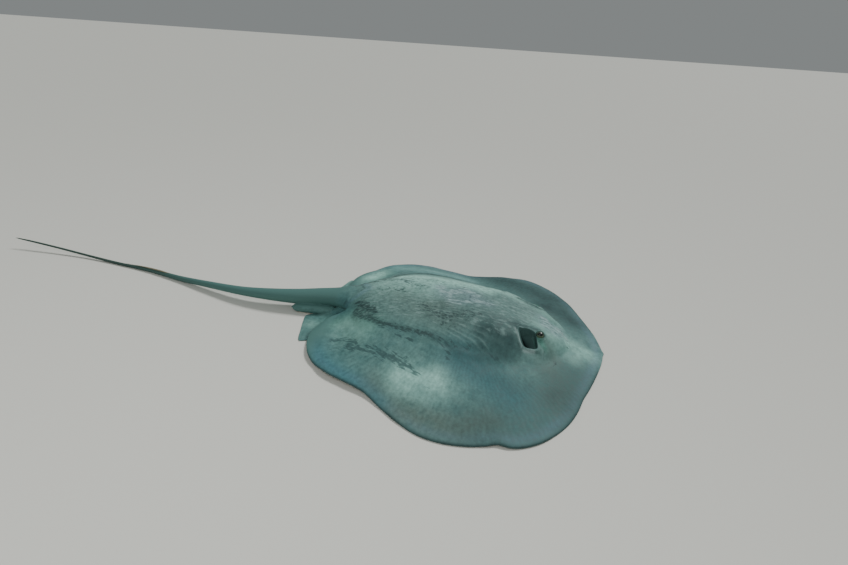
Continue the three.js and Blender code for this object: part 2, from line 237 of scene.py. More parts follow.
def flat_sheet(hub, rim_at, columns, rings_above, rings_below):
    """Net in plan about a hub (x, y); a point's z holds its mark: upper, lower, or 0 on the rim."""
    turn = np.linspace(-pi, pi, columns, endpoint=False)
    reach = rim_at(turn)
    inner = reach - EDGE_STEPS[0]
    above = [inner * (k / rings_above) ** 0.94 for k in range(1, rings_above)]
    edge = [reach - step for step in EDGE_STEPS]
    below = [inner * (k / rings_below) ** 0.9 for k in range(rings_below - 1, 0, -1)]
    rings = above + edge + edge[-2::-1] + below
    marks = [UPPER] * (len(above) + len(edge) - 1) + [0] + [LOWER] * (len(edge) - 1 + len(below))
    net = bmesh.new()
    rows = []
    for radius, mark in zip(rings, marks):
        side, ahead = hub[0] + radius * np.sin(turn), hub[1] - radius * np.cos(turn)
        rows.append([net.verts.new((x, y, mark)) for x, y in zip(side, ahead)])
    top, bottom = net.verts.new((*hub, UPPER)), net.verts.new((*hub, LOWER))
    for i in range(columns):
        j = (i + 1) % columns
        for inside, outside in zip(rows, rows[1:]):
            net.faces.new((inside[i], outside[i], outside[j], inside[j]))
        net.faces.new((top, rows[0][i], rows[0][j]))
        net.faces.new((bottom, rows[-1][j], rows[-1][i]))
    return net


def refine(net, mark, near, cuts):
    """Cuts the faces of one side finer where near(side, behind) is true."""
    edges = set()
    for face in net.faces:
        centre = face.calc_center_median()
        if abs(centre.z - mark) < 0.01 and near(centre.x, centre.y + SNOUT_TO_ORIGIN):
            edges.update(face.edges)
    bmesh.ops.subdivide_edges(net, edges=list(edges), cuts=cuts, use_grid_fill=True)


def disc_rim(turn):
    return rim_radius(np.degrees(np.abs(turn)), turn >= 0)


HUB = (0.0, SNOUT_TO_HUB - SNOUT_TO_ORIGIN)
disc_net = flat_sheet(HUB, disc_rim, columns=364, rings_above=82, rings_below=38)
print("disc net:", len(disc_net.verts), "points")

# %% [markdown]
# The eyes with their spiracles, the mouth with its nostrils and the gill slits are smaller than
# the net's meshes, so the net is cut finer there, to one or two millimetres.

# %% Finer meshes at the head
EYE = {"behind": 0.248, "side": 0.0985, "height": 0.0945, "radius": 0.0165}
SPIRACLE = {
    "behind": 0.2925, "side": 0.130, "outwards": (-0.0155, 0.0265), "backwards": (0.0280, 0.0055),
}
MOUTH = {"behind": 0.208, "half_width": 0.040}
NOSTRIL = {"behind": 0.176, "side": 0.042}
GILLS = [(0.335, 0.088), (0.366, 0.087), (0.397, 0.083), (0.427, 0.076), (0.454, 0.067)]


def near_eye_or_spiracle(side, behind):
    away = abs(from_backbone(behind, side))
    return np.hypot((behind - 0.275) / 1.1, away - 0.114) < 0.053


def near_eye(side, behind):
    away = abs(from_backbone(behind, side))
    return np.hypot(behind - EYE["behind"], away - EYE["side"]) < 0.025


def near_mouth(side, behind):
    return abs(side) < 0.062 and 0.155 < behind < 0.228


def near_gills(side, behind):
    away = abs(side)
    return any(abs(behind - place) < 0.012 and abs(away - aside) < 0.018 for place, aside in GILLS)


refine(disc_net, UPPER, near_eye_or_spiracle, 3)
refine(disc_net, UPPER, near_eye, 1)
refine(disc_net, LOWER, near_mouth, 5)
refine(disc_net, LOWER, near_gills, 5)
print("disc net with a finer head:", len(disc_net.verts), "points")

# %% [markdown]
# ## Shape of the back
# Over the plain form of the solids the skin carries what a living back shows: a soft hollow
# between the eyes, ridges from the eyes to the snout, the swellings of the gill arches behind
# the spiracles, a shallow crease where the trunk passes into the fins, and a slight unevenness
# everywhere. The fins show their rays as the finest of ripples. Each is a low wave or hump of
# a few millimetres at most, added to the height. Drawing them as formulas of the place on the
# body keeps them on both sides of the midline.

# %% Distance to a line, and the relief of the back
def along(points, behind, side):
    """Distance from each place to a line through (behind, side) points, and how far along it is."""
    best, travelled, done = np.full(behind.shape, 9.0), np.zeros(behind.shape), 0.0
    for (b0, s0), (b1, s1) in zip(points, points[1:]):
        length = np.hypot(b1 - b0, s1 - s0)
        t = np.clip(((behind - b0) * (b1 - b0) + (side - s0) * (s1 - s0)) / length**2, 0, 1)
        distance = np.hypot(behind - b0 - t * (b1 - b0), side - s0 - t * (s1 - s0))
        travelled = np.where(distance < best, done + t * length, travelled)
        best = np.minimum(best, distance)
        done += length
    return best, travelled / done


def unevenness(behind, side, size, seed):
    """Smooth waves of about the given size that cross in several directions, between -1 and 1."""
    dice = np.random.default_rng(seed)
    total = 0
    for _ in range(7):
        heading, phase = dice.uniform(0, 2 * pi), dice.uniform(0, 2 * pi)
        stretch = dice.uniform(0.7, 1.5)
        forward = behind * cos(heading) + side * sin(heading)
        total = total + np.sin(2 * pi * stretch * forward / size + phase)
    return total / 4


TRUNK_CREASE = [
    (0.96, 0.10), (0.90, 0.19), (0.80, 0.25), (0.68, 0.255), (0.56, 0.235), (0.45, 0.225),
    (0.39, 0.21),
]
SNOUT_RIDGE = [(0.232, 0.092), (0.19, 0.075), (0.15, 0.052), (0.105, 0.026), (0.06, 0.006)]
RAY_CENTRE = 0.50  # metres behind the snout where the fin rays would meet
RAY_WAVE = 150.0  # radians of wave for each radian of the fan, which makes 24 rays


def back_relief(behind, side, out, inwards):
    """Millimetre waves of the upper side; inwards is the distance from the rim."""
    off = from_backbone(behind, side)
    away = np.abs(off)
    between_eyes = -0.004 * hump(off, 0, 0.034) * hump(behind, 0.262, 0.05)
    ridge_distance, ridge_place = along(SNOUT_RIDGE, behind, away)
    ridge = 0.003 * hump(ridge_distance, 0, 0.013) * (1 - ridge_place**2)
    arches = 0.0007 * np.sin((behind - 0.33) * 2 * pi / 0.036)
    arches = arches * ramp(behind, 0.33, 0.36) * (1 - ramp(behind, 0.46, 0.5)) * hump(away, 0.165, 0.045)
    crease_distance, crease_place = along(TRUNK_CREASE, behind, away)
    crease = -0.0012 * hump(crease_distance, 0, 0.011) * ramp(crease_place, 0, 0.15)
    crease = crease + 0.0016 * hump(crease_distance, 0.02, 0.012)
    backbone = 0.0015 * hump(off, 0, 0.022) * ramp(behind, 0.4, 0.6)
    rays = 0.0002 * np.sin(np.arctan2(away, RAY_CENTRE - behind) * RAY_WAVE)
    rays = rays * ramp(out, 0.6, 0.8) * ramp(inwards, 0.004, 0.05)
    soft = 0.0011 * unevenness(behind, side, 0.11, 4) + 0.0005 * unevenness(behind, side, 0.035, 9)
    frill = 0.0022 * (1 + unevenness(behind, side, 0.16, 12)) * hump(inwards, 0.004, 0.02)
    relief = between_eyes + ridge + arches + crease + backbone + rays
    relief = relief + soft * ramp(inwards, 0.004, 0.03)
    return relief * ramp(inwards, 0, 0.01) + frill


fin_spots = np.linspace(0.3, 0.9, 50), np.full(50, 0.3), np.full(50, 0.8), np.full(50, 0.1)
print("relief along a fin:", round(float(np.ptp(back_relief(*fin_spots))), 4), "m from low to high")

# %% [markdown]
# The spiracle is the big breathing hole right behind each eye. Its mouth is a rounded
# four-sided opening that leans outwards; its rear rim is thin and its outer lip thick. It is
# made by pushing the finer meshes inside the opening down and forwards into the head, which
# keeps the skin in one piece. The eyelid is a skin-thick cap over the inner half of the
# eyeball that ends in a round lid edge, and the socket falls away under the open half.

# %% Spiracle, eyelid and socket
SPIRACLE_DEPTH = {"wall": 0.030, "bowl": 0.024}
SPIRACLE_BOXINESS = 4.0
LEFT_LIP = 0.35  # the left spiracle's lips are drawn in with the eye
LID_THICKNESS = 0.0018
LOOK = Vector((0.84, -0.08, 0.50)).normalized()  # where a left eye looks: outwards, ahead, up


def spiracle_place(behind, away):
    """0 at the middle of the opening, 1 on its rim, more outside; and the place along its two axes."""
    back, out = behind - SPIRACLE["behind"], away - SPIRACLE["side"]
    (long_back, long_out), (wide_back, wide_out) = SPIRACLE["outwards"], SPIRACLE["backwards"]
    area = long_back * wide_out - long_out * wide_back
    long = (back * wide_out - out * wide_back) / area
    wide = (long_back * out - long_out * back) / area
    wide = wide / (1 + 0.14 * long + 0.34 * (1 - np.clip(long, -1, 1)) * (wide < 0))
    boxy = np.abs(long) ** SPIRACLE_BOXINESS + np.abs(wide) ** SPIRACLE_BOXINESS
    return boxy ** (1 / SPIRACLE_BOXINESS), long, wide


def open_spiracle(behind, side, height):
    off = from_backbone(behind, side)
    away = np.abs(off)
    place, long, wide = spiracle_place(behind, away)
    inside = 1 - ramp(place, 0.66 - 0.14 * ramp(-wide, 0, 1), 1.0)
    bowl = 1 - ramp(np.hypot(long, wide), 0, 0.9)
    depth = SPIRACLE_DEPTH["wall"] * inside + SPIRACLE_DEPTH["bowl"] * bowl
    rear_rim = 0.0022 * hump(place, 1.06, 0.10) * ramp(wide, 0.2, 0.8)
    outer_lip = 0.0055 * hump(place, 1.16, 0.16) * ramp(long, 0.3, 0.9)
    outer_dip = -0.0045 * hump(away, 0.163, 0.016) * hump(behind, SPIRACLE["behind"], 0.04)
    lips = (rear_rim + outer_lip) * np.where(off > 0, LEFT_LIP, 1)
    flap = -0.0012 * hump(place, 1.45, 0.22) * ramp(wide, 0.3, 1)
    height = height + lips + flap + outer_dip * (1 - inside) - depth
    return behind - 0.012 * inside, side - np.sign(off) * 0.010 * inside, height


def cover_eye(behind, side, height):
    off = from_backbone(behind, side)
    eye_height = EYE["height"] - np.where(off > 0, LEFT_EYE_DROP, 0)
    out, back = np.abs(off) - EYE["side"], behind - EYE["behind"]
    distance = np.hypot(out, back)
    cap_radius = EYE["radius"] + LID_THICKNESS
    cap = eye_height + np.sqrt(np.maximum(cap_radius**2 - distance**2, 0))
    cap = np.where(distance < cap_radius, cap, -1)
    blend = 0.005
    weight = np.clip(0.5 + 0.5 * (cap - height) / blend, 0, 1)
    covered = height + (cap - height) * weight + blend * weight * (1 - weight)
    toward = (out * LOOK.x + back * LOOK.y + (cap - eye_height) * LOOK.z) / cap_radius
    opening = ramp(toward, 0.38, 0.44) * (distance < cap_radius)
    socket = eye_height + np.sqrt(np.maximum((EYE["radius"] - 0.001) ** 2 - distance**2, 0))
    socket = np.minimum(covered, socket)
    lid_edge = 0.0010 * hump(toward, 0.34, 0.06) * (distance < cap_radius)
    lower_lid = 0.0030 * hump(distance, cap_radius + 0.0015, 0.0032) * ramp(out, 0.0, 0.010)
    return covered + (socket - covered) * opening + lid_edge + lower_lid


opening_sizes = [round(2 * float(np.hypot(*SPIRACLE[axis])), 4) for axis in ("outwards", "backwards")]
print("spiracle opening:", opening_sizes, "m")

# %% [markdown]
# ## Underside
# The white belly lies flat on the floor. It carries the mouth, a short way behind the snout,
# the nostrils with the flap between them that reaches the mouth, five pairs of gill slits in
# two curves that draw together backwards, and the vent between the pelvic fins. They are
# narrow grooves pushed up into the body, and they never reach below the floor.

# %% Relief of the belly
def belly_relief(behind, side):
    away = np.abs(side)
    mouth_line = MOUTH["behind"] + 0.006 * np.cos(away / MOUTH["half_width"] * 1.9)
    across = 1 - ramp(away, MOUTH["half_width"] - 0.006, MOUTH["half_width"] + 0.001)
    mouth = 0.009 * hump(behind, mouth_line, 0.0026) * across
    lips = 0.0018 * hump(behind, mouth_line, 0.011) * across
    curtain_side = 0.036 + 0.004 * ramp(behind, NOSTRIL["behind"], MOUTH["behind"])
    curtain = 0.0035 * hump(away, curtain_side, 0.0016)
    curtain = curtain * ramp(behind, 0.17, 0.176) * (1 - ramp(behind, 0.198, 0.203))
    fringe = 0.003 * hump(behind, 0.2005, 0.0013) * (1 - ramp(away, 0.036, 0.041))
    from_nostril = np.hypot((behind - NOSTRIL["behind"]) / 1.5, away - NOSTRIL["side"])
    nostril = 0.007 * hump(from_nostril, 0, 0.0045)
    slits = 0
    for place, aside in GILLS:
        slant = behind - place - 0.28 * (away - aside) + 7 * (away - aside) ** 2
        length = 1 - ramp(np.abs(away - aside), 0.0115, 0.0145)
        slit = 0.006 * hump(slant, 0, 0.0026) + 0.0015 * hump(slant, -0.005, 0.004)
        slits = slits + slit * length
    vent = 0.006 * hump(np.hypot((behind - 0.93) / 2.2, side), 0, 0.0055)
    return mouth + lips + curtain + fringe + nostril + slits + vent


mouth_middle = belly_relief(np.array(MOUTH["behind"] + 0.006), np.array(0.0))
print("mouth:", round(float(mouth_middle), 4), "m deep; gill slits a side:", len(GILLS))

# %% [markdown]
# ## The tail's body
# The tail runs on from the trunk as one round rod that thins from 90 mm across to a whip of
# 4 mm. A curve with a bevel could draw it, but its width and height differ along the way, so
# rings of points are laid along the table instead. `rod` closes any such row of rings; the
# claspers use it too.

# %% Rods with a changing section
def rod(middles, half_widths, half_heights, sides):
    """Closed tube along y through rings given by their middle, half width and half height."""
    tube = bmesh.new()
    turn = np.linspace(0, 2 * pi, sides, endpoint=False)
    rows = []
    for (x, y, z), wide, high in zip(middles, half_widths, half_heights):
        rows.append([tube.verts.new((x + wide * cos(t), y, z + high * sin(t))) for t in turn])
    for near, far in zip(rows, rows[1:]):
        for i in range(sides):
            j = (i + 1) % sides
            tube.faces.new((near[i], near[j], far[j], far[i]))
    for row, middle, order in ((rows[0], middles[0], 1), (rows[-1], middles[-1], -1)):
        pole = tube.verts.new(middle)
        for i in range(sides):
            tube.faces.new((pole, row[(i + 1) % sides], row[i])[::order])
    return tube


def tail_form(behind):
    """Side, height of the middle, half width and half height of the tail at places along it."""
    at = behind / MM
    return tuple(follow(TAIL, at, column) for column in (1, 2, 3, 4))


def tail_top(behind, side):
    """Height of the tail's upper side, falling steeply beside it, and how far across it a place is."""
    aside, middle, wide, high = tail_form(behind)
    across = np.abs(side - aside) / wide
    top = middle + high * np.sqrt(np.maximum(1 - across**2, 0)) - 3 * wide * np.maximum(across - 1, 0)
    return top, across


def smooth_top(a, b, blend):
    """The higher of two heights, with a soft hollow where they meet."""
    weight = np.clip(0.5 + 0.5 * (b - a) / blend, 0, 1)
    return a + (b - a) * weight + blend * weight * (1 - weight)


TAIL_SIDES = 28
tail_places = np.concatenate([np.arange(0.872, 1.3, 0.006), np.arange(1.3, 2.68, 0.0085), [2.6795]])
aside, middle, wide, high = tail_form(tail_places)
end_taper = np.sqrt(1 - ramp(tail_places, 2.655, 2.6815)) * (0.92 + 0.08 * ramp(tail_places, 0.87, 0.915))
middles = [(x, b - SNOUT_TO_ORIGIN, z) for x, b, z in zip(aside, tail_places, middle)]
tail_tube = rod(middles, wide * end_taper, high * end_taper, TAIL_SIDES)
for vert in tail_tube.verts:
    vert.co.z = max(vert.co.z, 0.0)
print("tail:", len(tail_tube.verts), "points")

# %% [markdown]
# ## Lifting the disc's net
# Every point of the flat net now gets its height. Close to the rim both sides bend towards
# each other in a quarter circle, 4 mm thick in all, and over the tail's root the back runs up
# smoothly to the tail.

# %% Give the disc its height
def disc_place(plan):
    side, ahead, mark = plan.T
    behind = ahead + SNOUT_TO_ORIGIN
    turn = np.arctan2(side, SNOUT_TO_HUB - behind)
    angle = np.degrees(np.abs(turn))
    radius = np.hypot(side, SNOUT_TO_HUB - behind)
    rim = disc_rim(turn)
    out, inwards = radius / rim, np.maximum(rim - radius, 0)
    lift = fin_lift(behind, side, out, angle)
    half = RIM_THICKNESS / 2
    edge = half * np.sqrt(1 - (1 - np.minimum(inwards / half, 1)) ** 2)
    body = thickness(behind, side, out) - RIM_THICKNESS
    upper = lift + half + edge + body + back_relief(behind, side, out, inwards)
    tail_height, across_tail = tail_top(behind, side)
    run_to_tail = smooth_top(upper, tail_height + 0.0015, 0.018)
    parting = 1 - ramp(behind, 0.925, 0.965) * ramp(across_tail, 0.55, 0.85)
    upper = upper + (run_to_tail - upper) * ramp(behind, 0.74, 0.82) * ramp(inwards, 0, 0.012) * parting
    upper = cover_eye(behind, side, upper)
    upper_behind, upper_side, upper = open_spiracle(behind, side, upper)
    lower = lift + half - edge + belly_relief(behind, side) * ramp(inwards, 0, 0.01)
    top = mark > 0.5
    rim_point = np.abs(mark) < 0.5
    height = np.where(rim_point, lift + half, np.where(top, upper, lower))
    behind = np.where(top, upper_behind, behind)
    side = np.where(top, upper_side, side)
    return np.stack([side, behind - SNOUT_TO_ORIGIN, height], axis=1)


def shape_net(net, place):
    plan = np.array([vert.co[:] for vert in net.verts])
    for vert, spot in zip(net.verts, place(plan)):
        vert.co = spot
    return net


shape_net(disc_net, disc_place)
print("disc is", round(max(vert.co.z for vert in disc_net.verts), 4), "m high")

# %% [markdown]
# ## Pelvic fins and claspers
# Behind the disc, two small pelvic fins lie flat under its rear tips. They are thick at the
# root, where they leave the body beside the vent, and thin outwards. They use the same
# two-sided net as the disc, about a hub of their own.

# %% Pelvic fins from their outline
RIGHT_PELVIC = [
    (30, 975), (120, 965), (205, 1010), (246, 1085), (240, 1102), (190, 1118), (130, 1136),
    (90, 1142), (62, 1110), (30, 1070),
]
LEFT_PELVIC = [
    (30, 975), (120, 960), (196, 996), (234, 1060), (228, 1078), (182, 1090), (130, 1106),
    (90, 1112), (62, 1096), (30, 1060),
]
PELVIC_HUB = (0.125, 1.04)  # side and distance behind the snout
PELVIC_RIM = 0.0032  # metres thick
FLOOR_GAP = 0.0003


def closed_curve(points, steps):
    """Smooth closed curve through (side, behind) points."""
    points = np.array(points, float) * MM
    t = np.linspace(0, 1, steps, endpoint=False)[:, None]
    pieces = []
    for i in range(len(points)):
        a, b, c, d = (points[(i + k) % len(points)] for k in (-1, 0, 1, 2))
        bend, twist = 2 * a - 5 * b + 4 * c - d, 3 * b - a - 3 * c + d
        pieces.append(0.5 * (2 * b + (c - a) * t + bend * t**2 + twist * t**3))
    return np.concatenate(pieces)


def pelvic_rim(turn, outline):
    curve = closed_curve(outline, 40) - np.array(PELVIC_HUB)
    heading, reach = np.arctan2(curve[:, 0], -curve[:, 1]), np.hypot(curve[:, 0], curve[:, 1])
    order = np.argsort(heading)
    return np.interp(turn, heading[order], reach[order], period=2 * pi)


def pelvic_place(plan, outline):
    side, ahead, mark = plan.T
    behind = ahead + SNOUT_TO_ORIGIN
    turn = np.arctan2(side - PELVIC_HUB[0], PELVIC_HUB[1] - behind)
    radius = np.hypot(side - PELVIC_HUB[0], behind - PELVIC_HUB[1])
    inwards = np.maximum(pelvic_rim(turn, outline) - radius, 0)
    half = PELVIC_RIM / 2
    edge = half * np.sqrt(1 - (1 - np.minimum(inwards / half, 1)) ** 2)
    muscle = 0.0035 * ramp(inwards, 0, 0.03)
    root = 0.032 * (1 - ramp(side, 0.045, 0.115)) * (1 - ramp(behind, 1.01, 1.11)) * ramp(inwards, 0, 0.02)
    rays = 0.0003 * np.sin(np.arctan2(side - 0.02, behind - 0.93) * 95) * ramp(inwards, 0.004, 0.02)
    top = mark > 0.5
    height = half + np.where(top, edge + muscle + root + rays, -edge)
    return np.stack([side, ahead, FLOOR_GAP + height], axis=1)


def pelvic_net(outline):
    hub = (PELVIC_HUB[0], PELVIC_HUB[1] - SNOUT_TO_ORIGIN)
    net = flat_sheet(hub, lambda turn: pelvic_rim(turn, outline), 120, 22, 5)
    return shape_net(net, lambda plan: pelvic_place(plan, outline))


# %% [markdown]
# This ray is a male: a clasper, a soft finger with a groove along its upper side, lies beside
# each pelvic fin. It is a rod like the tail, with a rounded end. The groove is pressed in
# afterwards, by lowering the points along the rod's top line.

# %% Claspers
CLASPER = [  # behind the snout, side, radius
    (1040, 55, 17), (1060, 57, 18.5), (1110, 62, 19.5), (1170, 69, 18.5), (1200, 73, 15.5),
    (1214, 75, 8),
]
CLASPER_HEIGHT = 0.0195
CLASPER_SPREAD = {"left": 0.7, "right": 0.94}  # the left one lies closer to the tail
CLASPER_SIDES = 24


def clasper_rod(spread):
    places = np.concatenate([np.arange(1040, 1196, 6), [1200, 1204, 1207.5, 1210.5, 1212.8, 1213.8]])
    aside, radius = follow(CLASPER, places) * spread, follow(CLASPER, places, 2)
    radius = radius * np.sqrt(1 - ramp(places, 1192, 1214.5))
    middles = [(x, b * MM - SNOUT_TO_ORIGIN, CLASPER_HEIGHT) for x, b in zip(aside, places)]
    finger = rod(middles, radius, radius, CLASPER_SIDES)
    for vert in finger.verts:
        behind = vert.co.y + SNOUT_TO_ORIGIN
        off = vert.co.x - float(follow(CLASPER, behind / MM)) * spread - 0.002
        groove = 0.0035 * hump(off, 0, 0.0022) * ramp(behind, 1.10, 1.13) * ramp(vert.co.z, 0.012, 0.02)
        vert.co.z = max(vert.co.z - groove, 0.0006)
    return finger


print("pelvic fin:", len(pelvic_net(LEFT_PELVIC).verts), "points")
print("clasper:", len(clasper_rod(1).verts), "points")

# %% [markdown]
# ## One skin
# Disc, tail, fins and claspers are still separate closed bodies that run into each other. A
# voxel remesh would join them but coarsen the thin edges; a Boolean union keeps every surface
# as drawn and only stitches them where they meet. The stitches are then smoothed over a few
# millimetres, so that the tail and the fins flow out of the body as flesh does.

# %% Join the bodies
def as_object(name, net, mirrored=False):
    if mirrored:
        bmesh.ops.scale(net, vec=(-1, 1, 1), verts=net.verts)
        bmesh.ops.reverse_faces(net, faces=net.faces)
    bmesh.ops.recalc_face_normals(net, faces=net.faces)
    mesh = bpy.data.meshes.new(name)
    net.to_mesh(mesh)
    net.free()
    made = bpy.data.objects.new(name, mesh)
    bpy.context.scene.collection.objects.link(made)
    return made


def join_into(body, other):
    union = body.modifiers.new("join", "BOOLEAN")
    union.object, union.operation, union.solver = other, "UNION", "MANIFOLD"
    view = bpy.context.evaluated_depsgraph_get()
    joined = bpy.data.meshes.new_from_object(body.evaluated_get(view))
    body.modifiers.clear()
    body.data = joined
    bpy.data.objects.remove(other)


skin = as_object("skin", disc_net)
drawn_points = [np.array([vert.co[:] for vert in skin.data.vertices])]
joining = [as_object("tail_body", tail_tube)]
joining += [as_object("pelvic_left", pelvic_net(LEFT_PELVIC))]
joining += [as_object("pelvic_right", pelvic_net(RIGHT_PELVIC), mirrored=True)]
joining += [as_object("clasper_left", clasper_rod(CLASPER_SPREAD["left"]))]
joining += [as_object("clasper_right", clasper_rod(CLASPER_SPREAD["right"]), mirrored=True)]
for part in joining:
    drawn_points.append(np.array([vert.co[:] for vert in part.data.vertices]))
    join_into(skin, part)
print("joined skin:", len(skin.data.vertices), "points")

# %% [markdown]
# The union leaves a crease at each meeting line. Its new points are found first: they are the
# ones that none of the drawn bodies had, which a k-d tree of all drawn points tells quickly.
# Rings of neighbours round them are then eased towards each other, widely high on the back and
# only a little beside the fins. Slivers and loose edges that a union can leave are cleared last.

# %% Smooth the stitches
FLESH_RINGS, FLESH_ROUNDS = 5, 14  # over the back the tail flows out of the trunk
FOLD_RINGS, FOLD_ROUNDS = 1, 3  # lower down each fin keeps the fold at its root
FLESH_HEIGHT = 0.062


def stitch_points(net, drawn):
    """Points that the union made: those that lie on none of the drawn ones."""
    drawn = np.concatenate(drawn)
    tree = KDTree(len(drawn))
    for i, spot in enumerate(drawn):
        tree.insert(spot, i)
    tree.balance()
    return {vert for vert in net.verts if tree.find(vert.co)[2] > 2e-6}


net = bmesh.new()
net.from_mesh(skin.data)
bmesh.ops.remove_doubles(net, verts=net.verts, dist=0.0003)
seam = stitch_points(net, drawn_points)


def soften(points, rings, rounds):
    zones = [points]
    for _ in range(rings):
        zones.append(zones[-1] | {edge.other_vert(vert) for vert in zones[-1] for edge in vert.link_edges})
    for _ in range(rounds):
        for zone in zones[1:]:
            movable = [vert for vert in zone if vert.co.z > 0.003]
            bmesh.ops.smooth_vert(
                net, verts=movable, factor=0.35, use_axis_x=True, use_axis_y=True, use_axis_z=True
            )


soften({vert for vert in seam if vert.co.z > FLESH_HEIGHT}, FLESH_RINGS, FLESH_ROUNDS)
soften(seam, FOLD_RINGS, FOLD_ROUNDS)
bmesh.ops.dissolve_degenerate(net, dist=0.00005, edges=net.edges)
bmesh.ops.delete(net, geom=[edge for edge in net.edges if edge.is_wire], context="EDGES")
bmesh.ops.holes_fill(net, edges=[edge for edge in net.edges if edge.is_boundary], sides=12)
for face in net.faces:
    face.smooth = True
open_edges = [edge for edge in net.edges if not edge.is_manifold]
net.to_mesh(skin.data)
net.free()
print("stitch points:", len(seam), "open edges:", len(open_edges), "faces:", len(skin.data.polygons))

# %% [markdown]
# ## Where the markings lie
# Part of the skin's colour is painted shade and painted light. Shade is painted in at the foot
# of the trunk, behind the spiracles and under the brow and lids, painted light makes the crest
# of the back and the snout paler, and old scrapes stay where the animal rubbed itself. Each
# kind of marking is a mask on the skin's own points, a number from 0 to 1 that fades with the
# distance from a few lines drawn on the back. The masks only say where. The grain of the
# speckles and scrapes comes later, from noise in the material, so that no hard edge of a mask
# shows. Painting a picture would fix one size of picture; masks stay smooth.

# %% Places on the skin
spots = np.array([vert.co[:] for vert in skin.data.vertices])
normals = np.array([vert.normal[:] for vert in skin.data.vertices])
skin_side, skin_behind, skin_height = spots[:, 0], spots[:, 1] + SNOUT_TO_ORIGIN, spots[:, 2]
skin_away = np.abs(from_backbone(skin_behind, skin_side))
skin_turn = np.arctan2(skin_side, SNOUT_TO_HUB - skin_behind)
skin_inwards = disc_rim(skin_turn) - np.hypot(skin_side, SNOUT_TO_HUB - skin_behind)
on_disc = (skin_inwards > -0.001) & (skin_behind < 1.08)
upward = ramp(normals[:, 2], -0.25, 0.1)
print("skin points facing up:", int(upward.sum()), "of", len(upward))

# %% [markdown]
# The marks are lists of strokes: reach in metres, strength, which sides, and the line itself as
# (behind, side) points. `BOTH` mirrors a stroke about the backbone; the others lie on one side
# only, with the left side positive, since no two flanks of a real ray are marked alike.

# %% Strokes of shade and light
BOTH, ONE = True, False
# Painted shade: darker colour in the hollows behind and under the spiracles, under the brow and along the
# eyelids, at the foot of the trunk and beside the tail's root; the broad strokes darken the front of the
# fins.
SHADE = [
    (0.026, 0.90, BOTH, [(0.45, 0.150), (0.40, 0.152), (0.35, 0.156)]),
    (0.024, 0.75, BOTH, [(0.46, 0.170), (0.41, 0.184), (0.37, 0.187), (0.32, 0.176)]),
    (0.022, 0.50, BOTH, [(0.45, 0.212), (0.40, 0.218), (0.33, 0.212)]),
    (0.0055, 0.75, BOTH, [(0.264, 0.088), (0.248, 0.0805), (0.232, 0.088)]),
    (0.016, 0.40, BOTH, [(0.93, 0.12), (0.88, 0.155), (0.81, 0.190), (0.70, 0.212), (0.60, 0.222)]),
    (0.020, 0.40, BOTH, [(0.60, 0.222), (0.51, 0.25), (0.45, 0.245), (0.36, 0.215)]),
    (0.022, 0.45, BOTH, [(0.93, 0.083), (0.89, 0.11), (0.85, 0.14)]),
    (0.022, 0.25, BOTH, [(0.96, 0.090), (0.99, 0.066)]),
    (0.014, 0.85, BOTH, [(0.333, 0.098), (0.295, 0.090), (0.262, 0.083)]),
    (0.100, 0.92, ONE, [(0.50, 0.50), (0.37, 0.42), (0.275, 0.37), (0.18, 0.32)]),
    (0.060, 0.95, ONE, [(0.21, 0.24), (0.15, 0.222), (0.10, 0.165)]),
    (0.060, 0.45, ONE, [(0.50, -0.24), (0.42, -0.27), (0.35, -0.31)]),
    (0.075, 0.55, ONE, [(0.16, -0.30), (0.12, -0.20), (0.11, -0.16)]),
    (0.120, 0.50, ONE, [(0.40, -0.50), (0.28, -0.45), (0.20, -0.34)]),
    (0.034, 0.60, ONE, [(0.42, -0.09), (0.36, -0.085), (0.32, -0.07)]),
    (0.045, 0.40, ONE, [(0.60, -0.10), (0.54, -0.12), (0.50, -0.08), (0.47, -0.075)]),
]
# Painted light: paler colour on the crest and top of the back, on the head and on the snout, where light
# falls; on the fins, the rear lobes and the pelvic fins the pale patches are partly painted light.
LIGHT = [
    (0.046, 0.97, ONE, [(0.80, 0.13), (0.70, 0.15), (0.62, 0.145), (0.52, 0.132), (0.45, 0.135)]),
    (0.030, 0.60, ONE, [(0.60, 0.11), (0.52, 0.10), (0.46, 0.10)]),
    (0.030, 0.80, ONE, [(0.45, 0.145), (0.38, 0.14), (0.33, 0.115)]),
    (0.030, 0.30, ONE, [(0.27, 0.10), (0.22, 0.085), (0.17, 0.06)]),
    (0.040, 0.20, BOTH, [(1.05, 0.175), (1.09, 0.15)]),
    (0.045, 0.90, ONE, [(1.03, 0.23), (0.99, 0.256), (0.96, 0.280)]),
    (0.042, 0.68, ONE, [(0.685, -0.362), (0.63, -0.367), (0.575, -0.350)]),
    (0.040, 0.36, ONE, [(0.67, -0.405), (0.60, -0.412), (0.54, -0.385)]),
    (0.040, 0.55, ONE, [(0.13, -0.027), (0.09, -0.024), (0.05, -0.028)]),
    (0.034, 0.45, ONE, [(0.09, -0.06), (0.115, -0.10)]),
    (0.022, 0.16, ONE, [(0.23, 0.03), (0.20, 0.004), (0.165, 0.015), (0.14, -0.01)]),
    (0.045, 0.30, ONE, [(0.86, -0.22), (0.96, -0.16)]),
    (0.075, 0.55, ONE, [(0.84, 0.05), (0.74, 0.06), (0.68, 0.04)]),
    (0.035, 0.50, ONE, [(0.78, 0.09), (0.70, 0.09), (0.62, 0.085)]),
    (0.045, 0.40, ONE, [(0.25, -0.02), (0.20, -0.05)]),
    (0.050, 0.35, ONE, [(0.88, 0.35), (0.78, 0.31), (0.68, 0.31), (0.56, 0.35)]),
]
LIP = [
    (0.0045, 0.75, BOTH, [(0.262, 0.161), (0.297, 0.171)]),
    (0.0035, 0.70, BOTH, [(0.338, 0.112), (0.322, 0.139), (0.306, 0.166)]),
    (0.0030, 0.75, ONE, [(0.158, 0.004), (0.149, -0.004), (0.140, -0.007)]),  # a scratch
]
print(len(SHADE) + len(LIGHT) + len(LIP), "strokes of shade, light and pale rim")

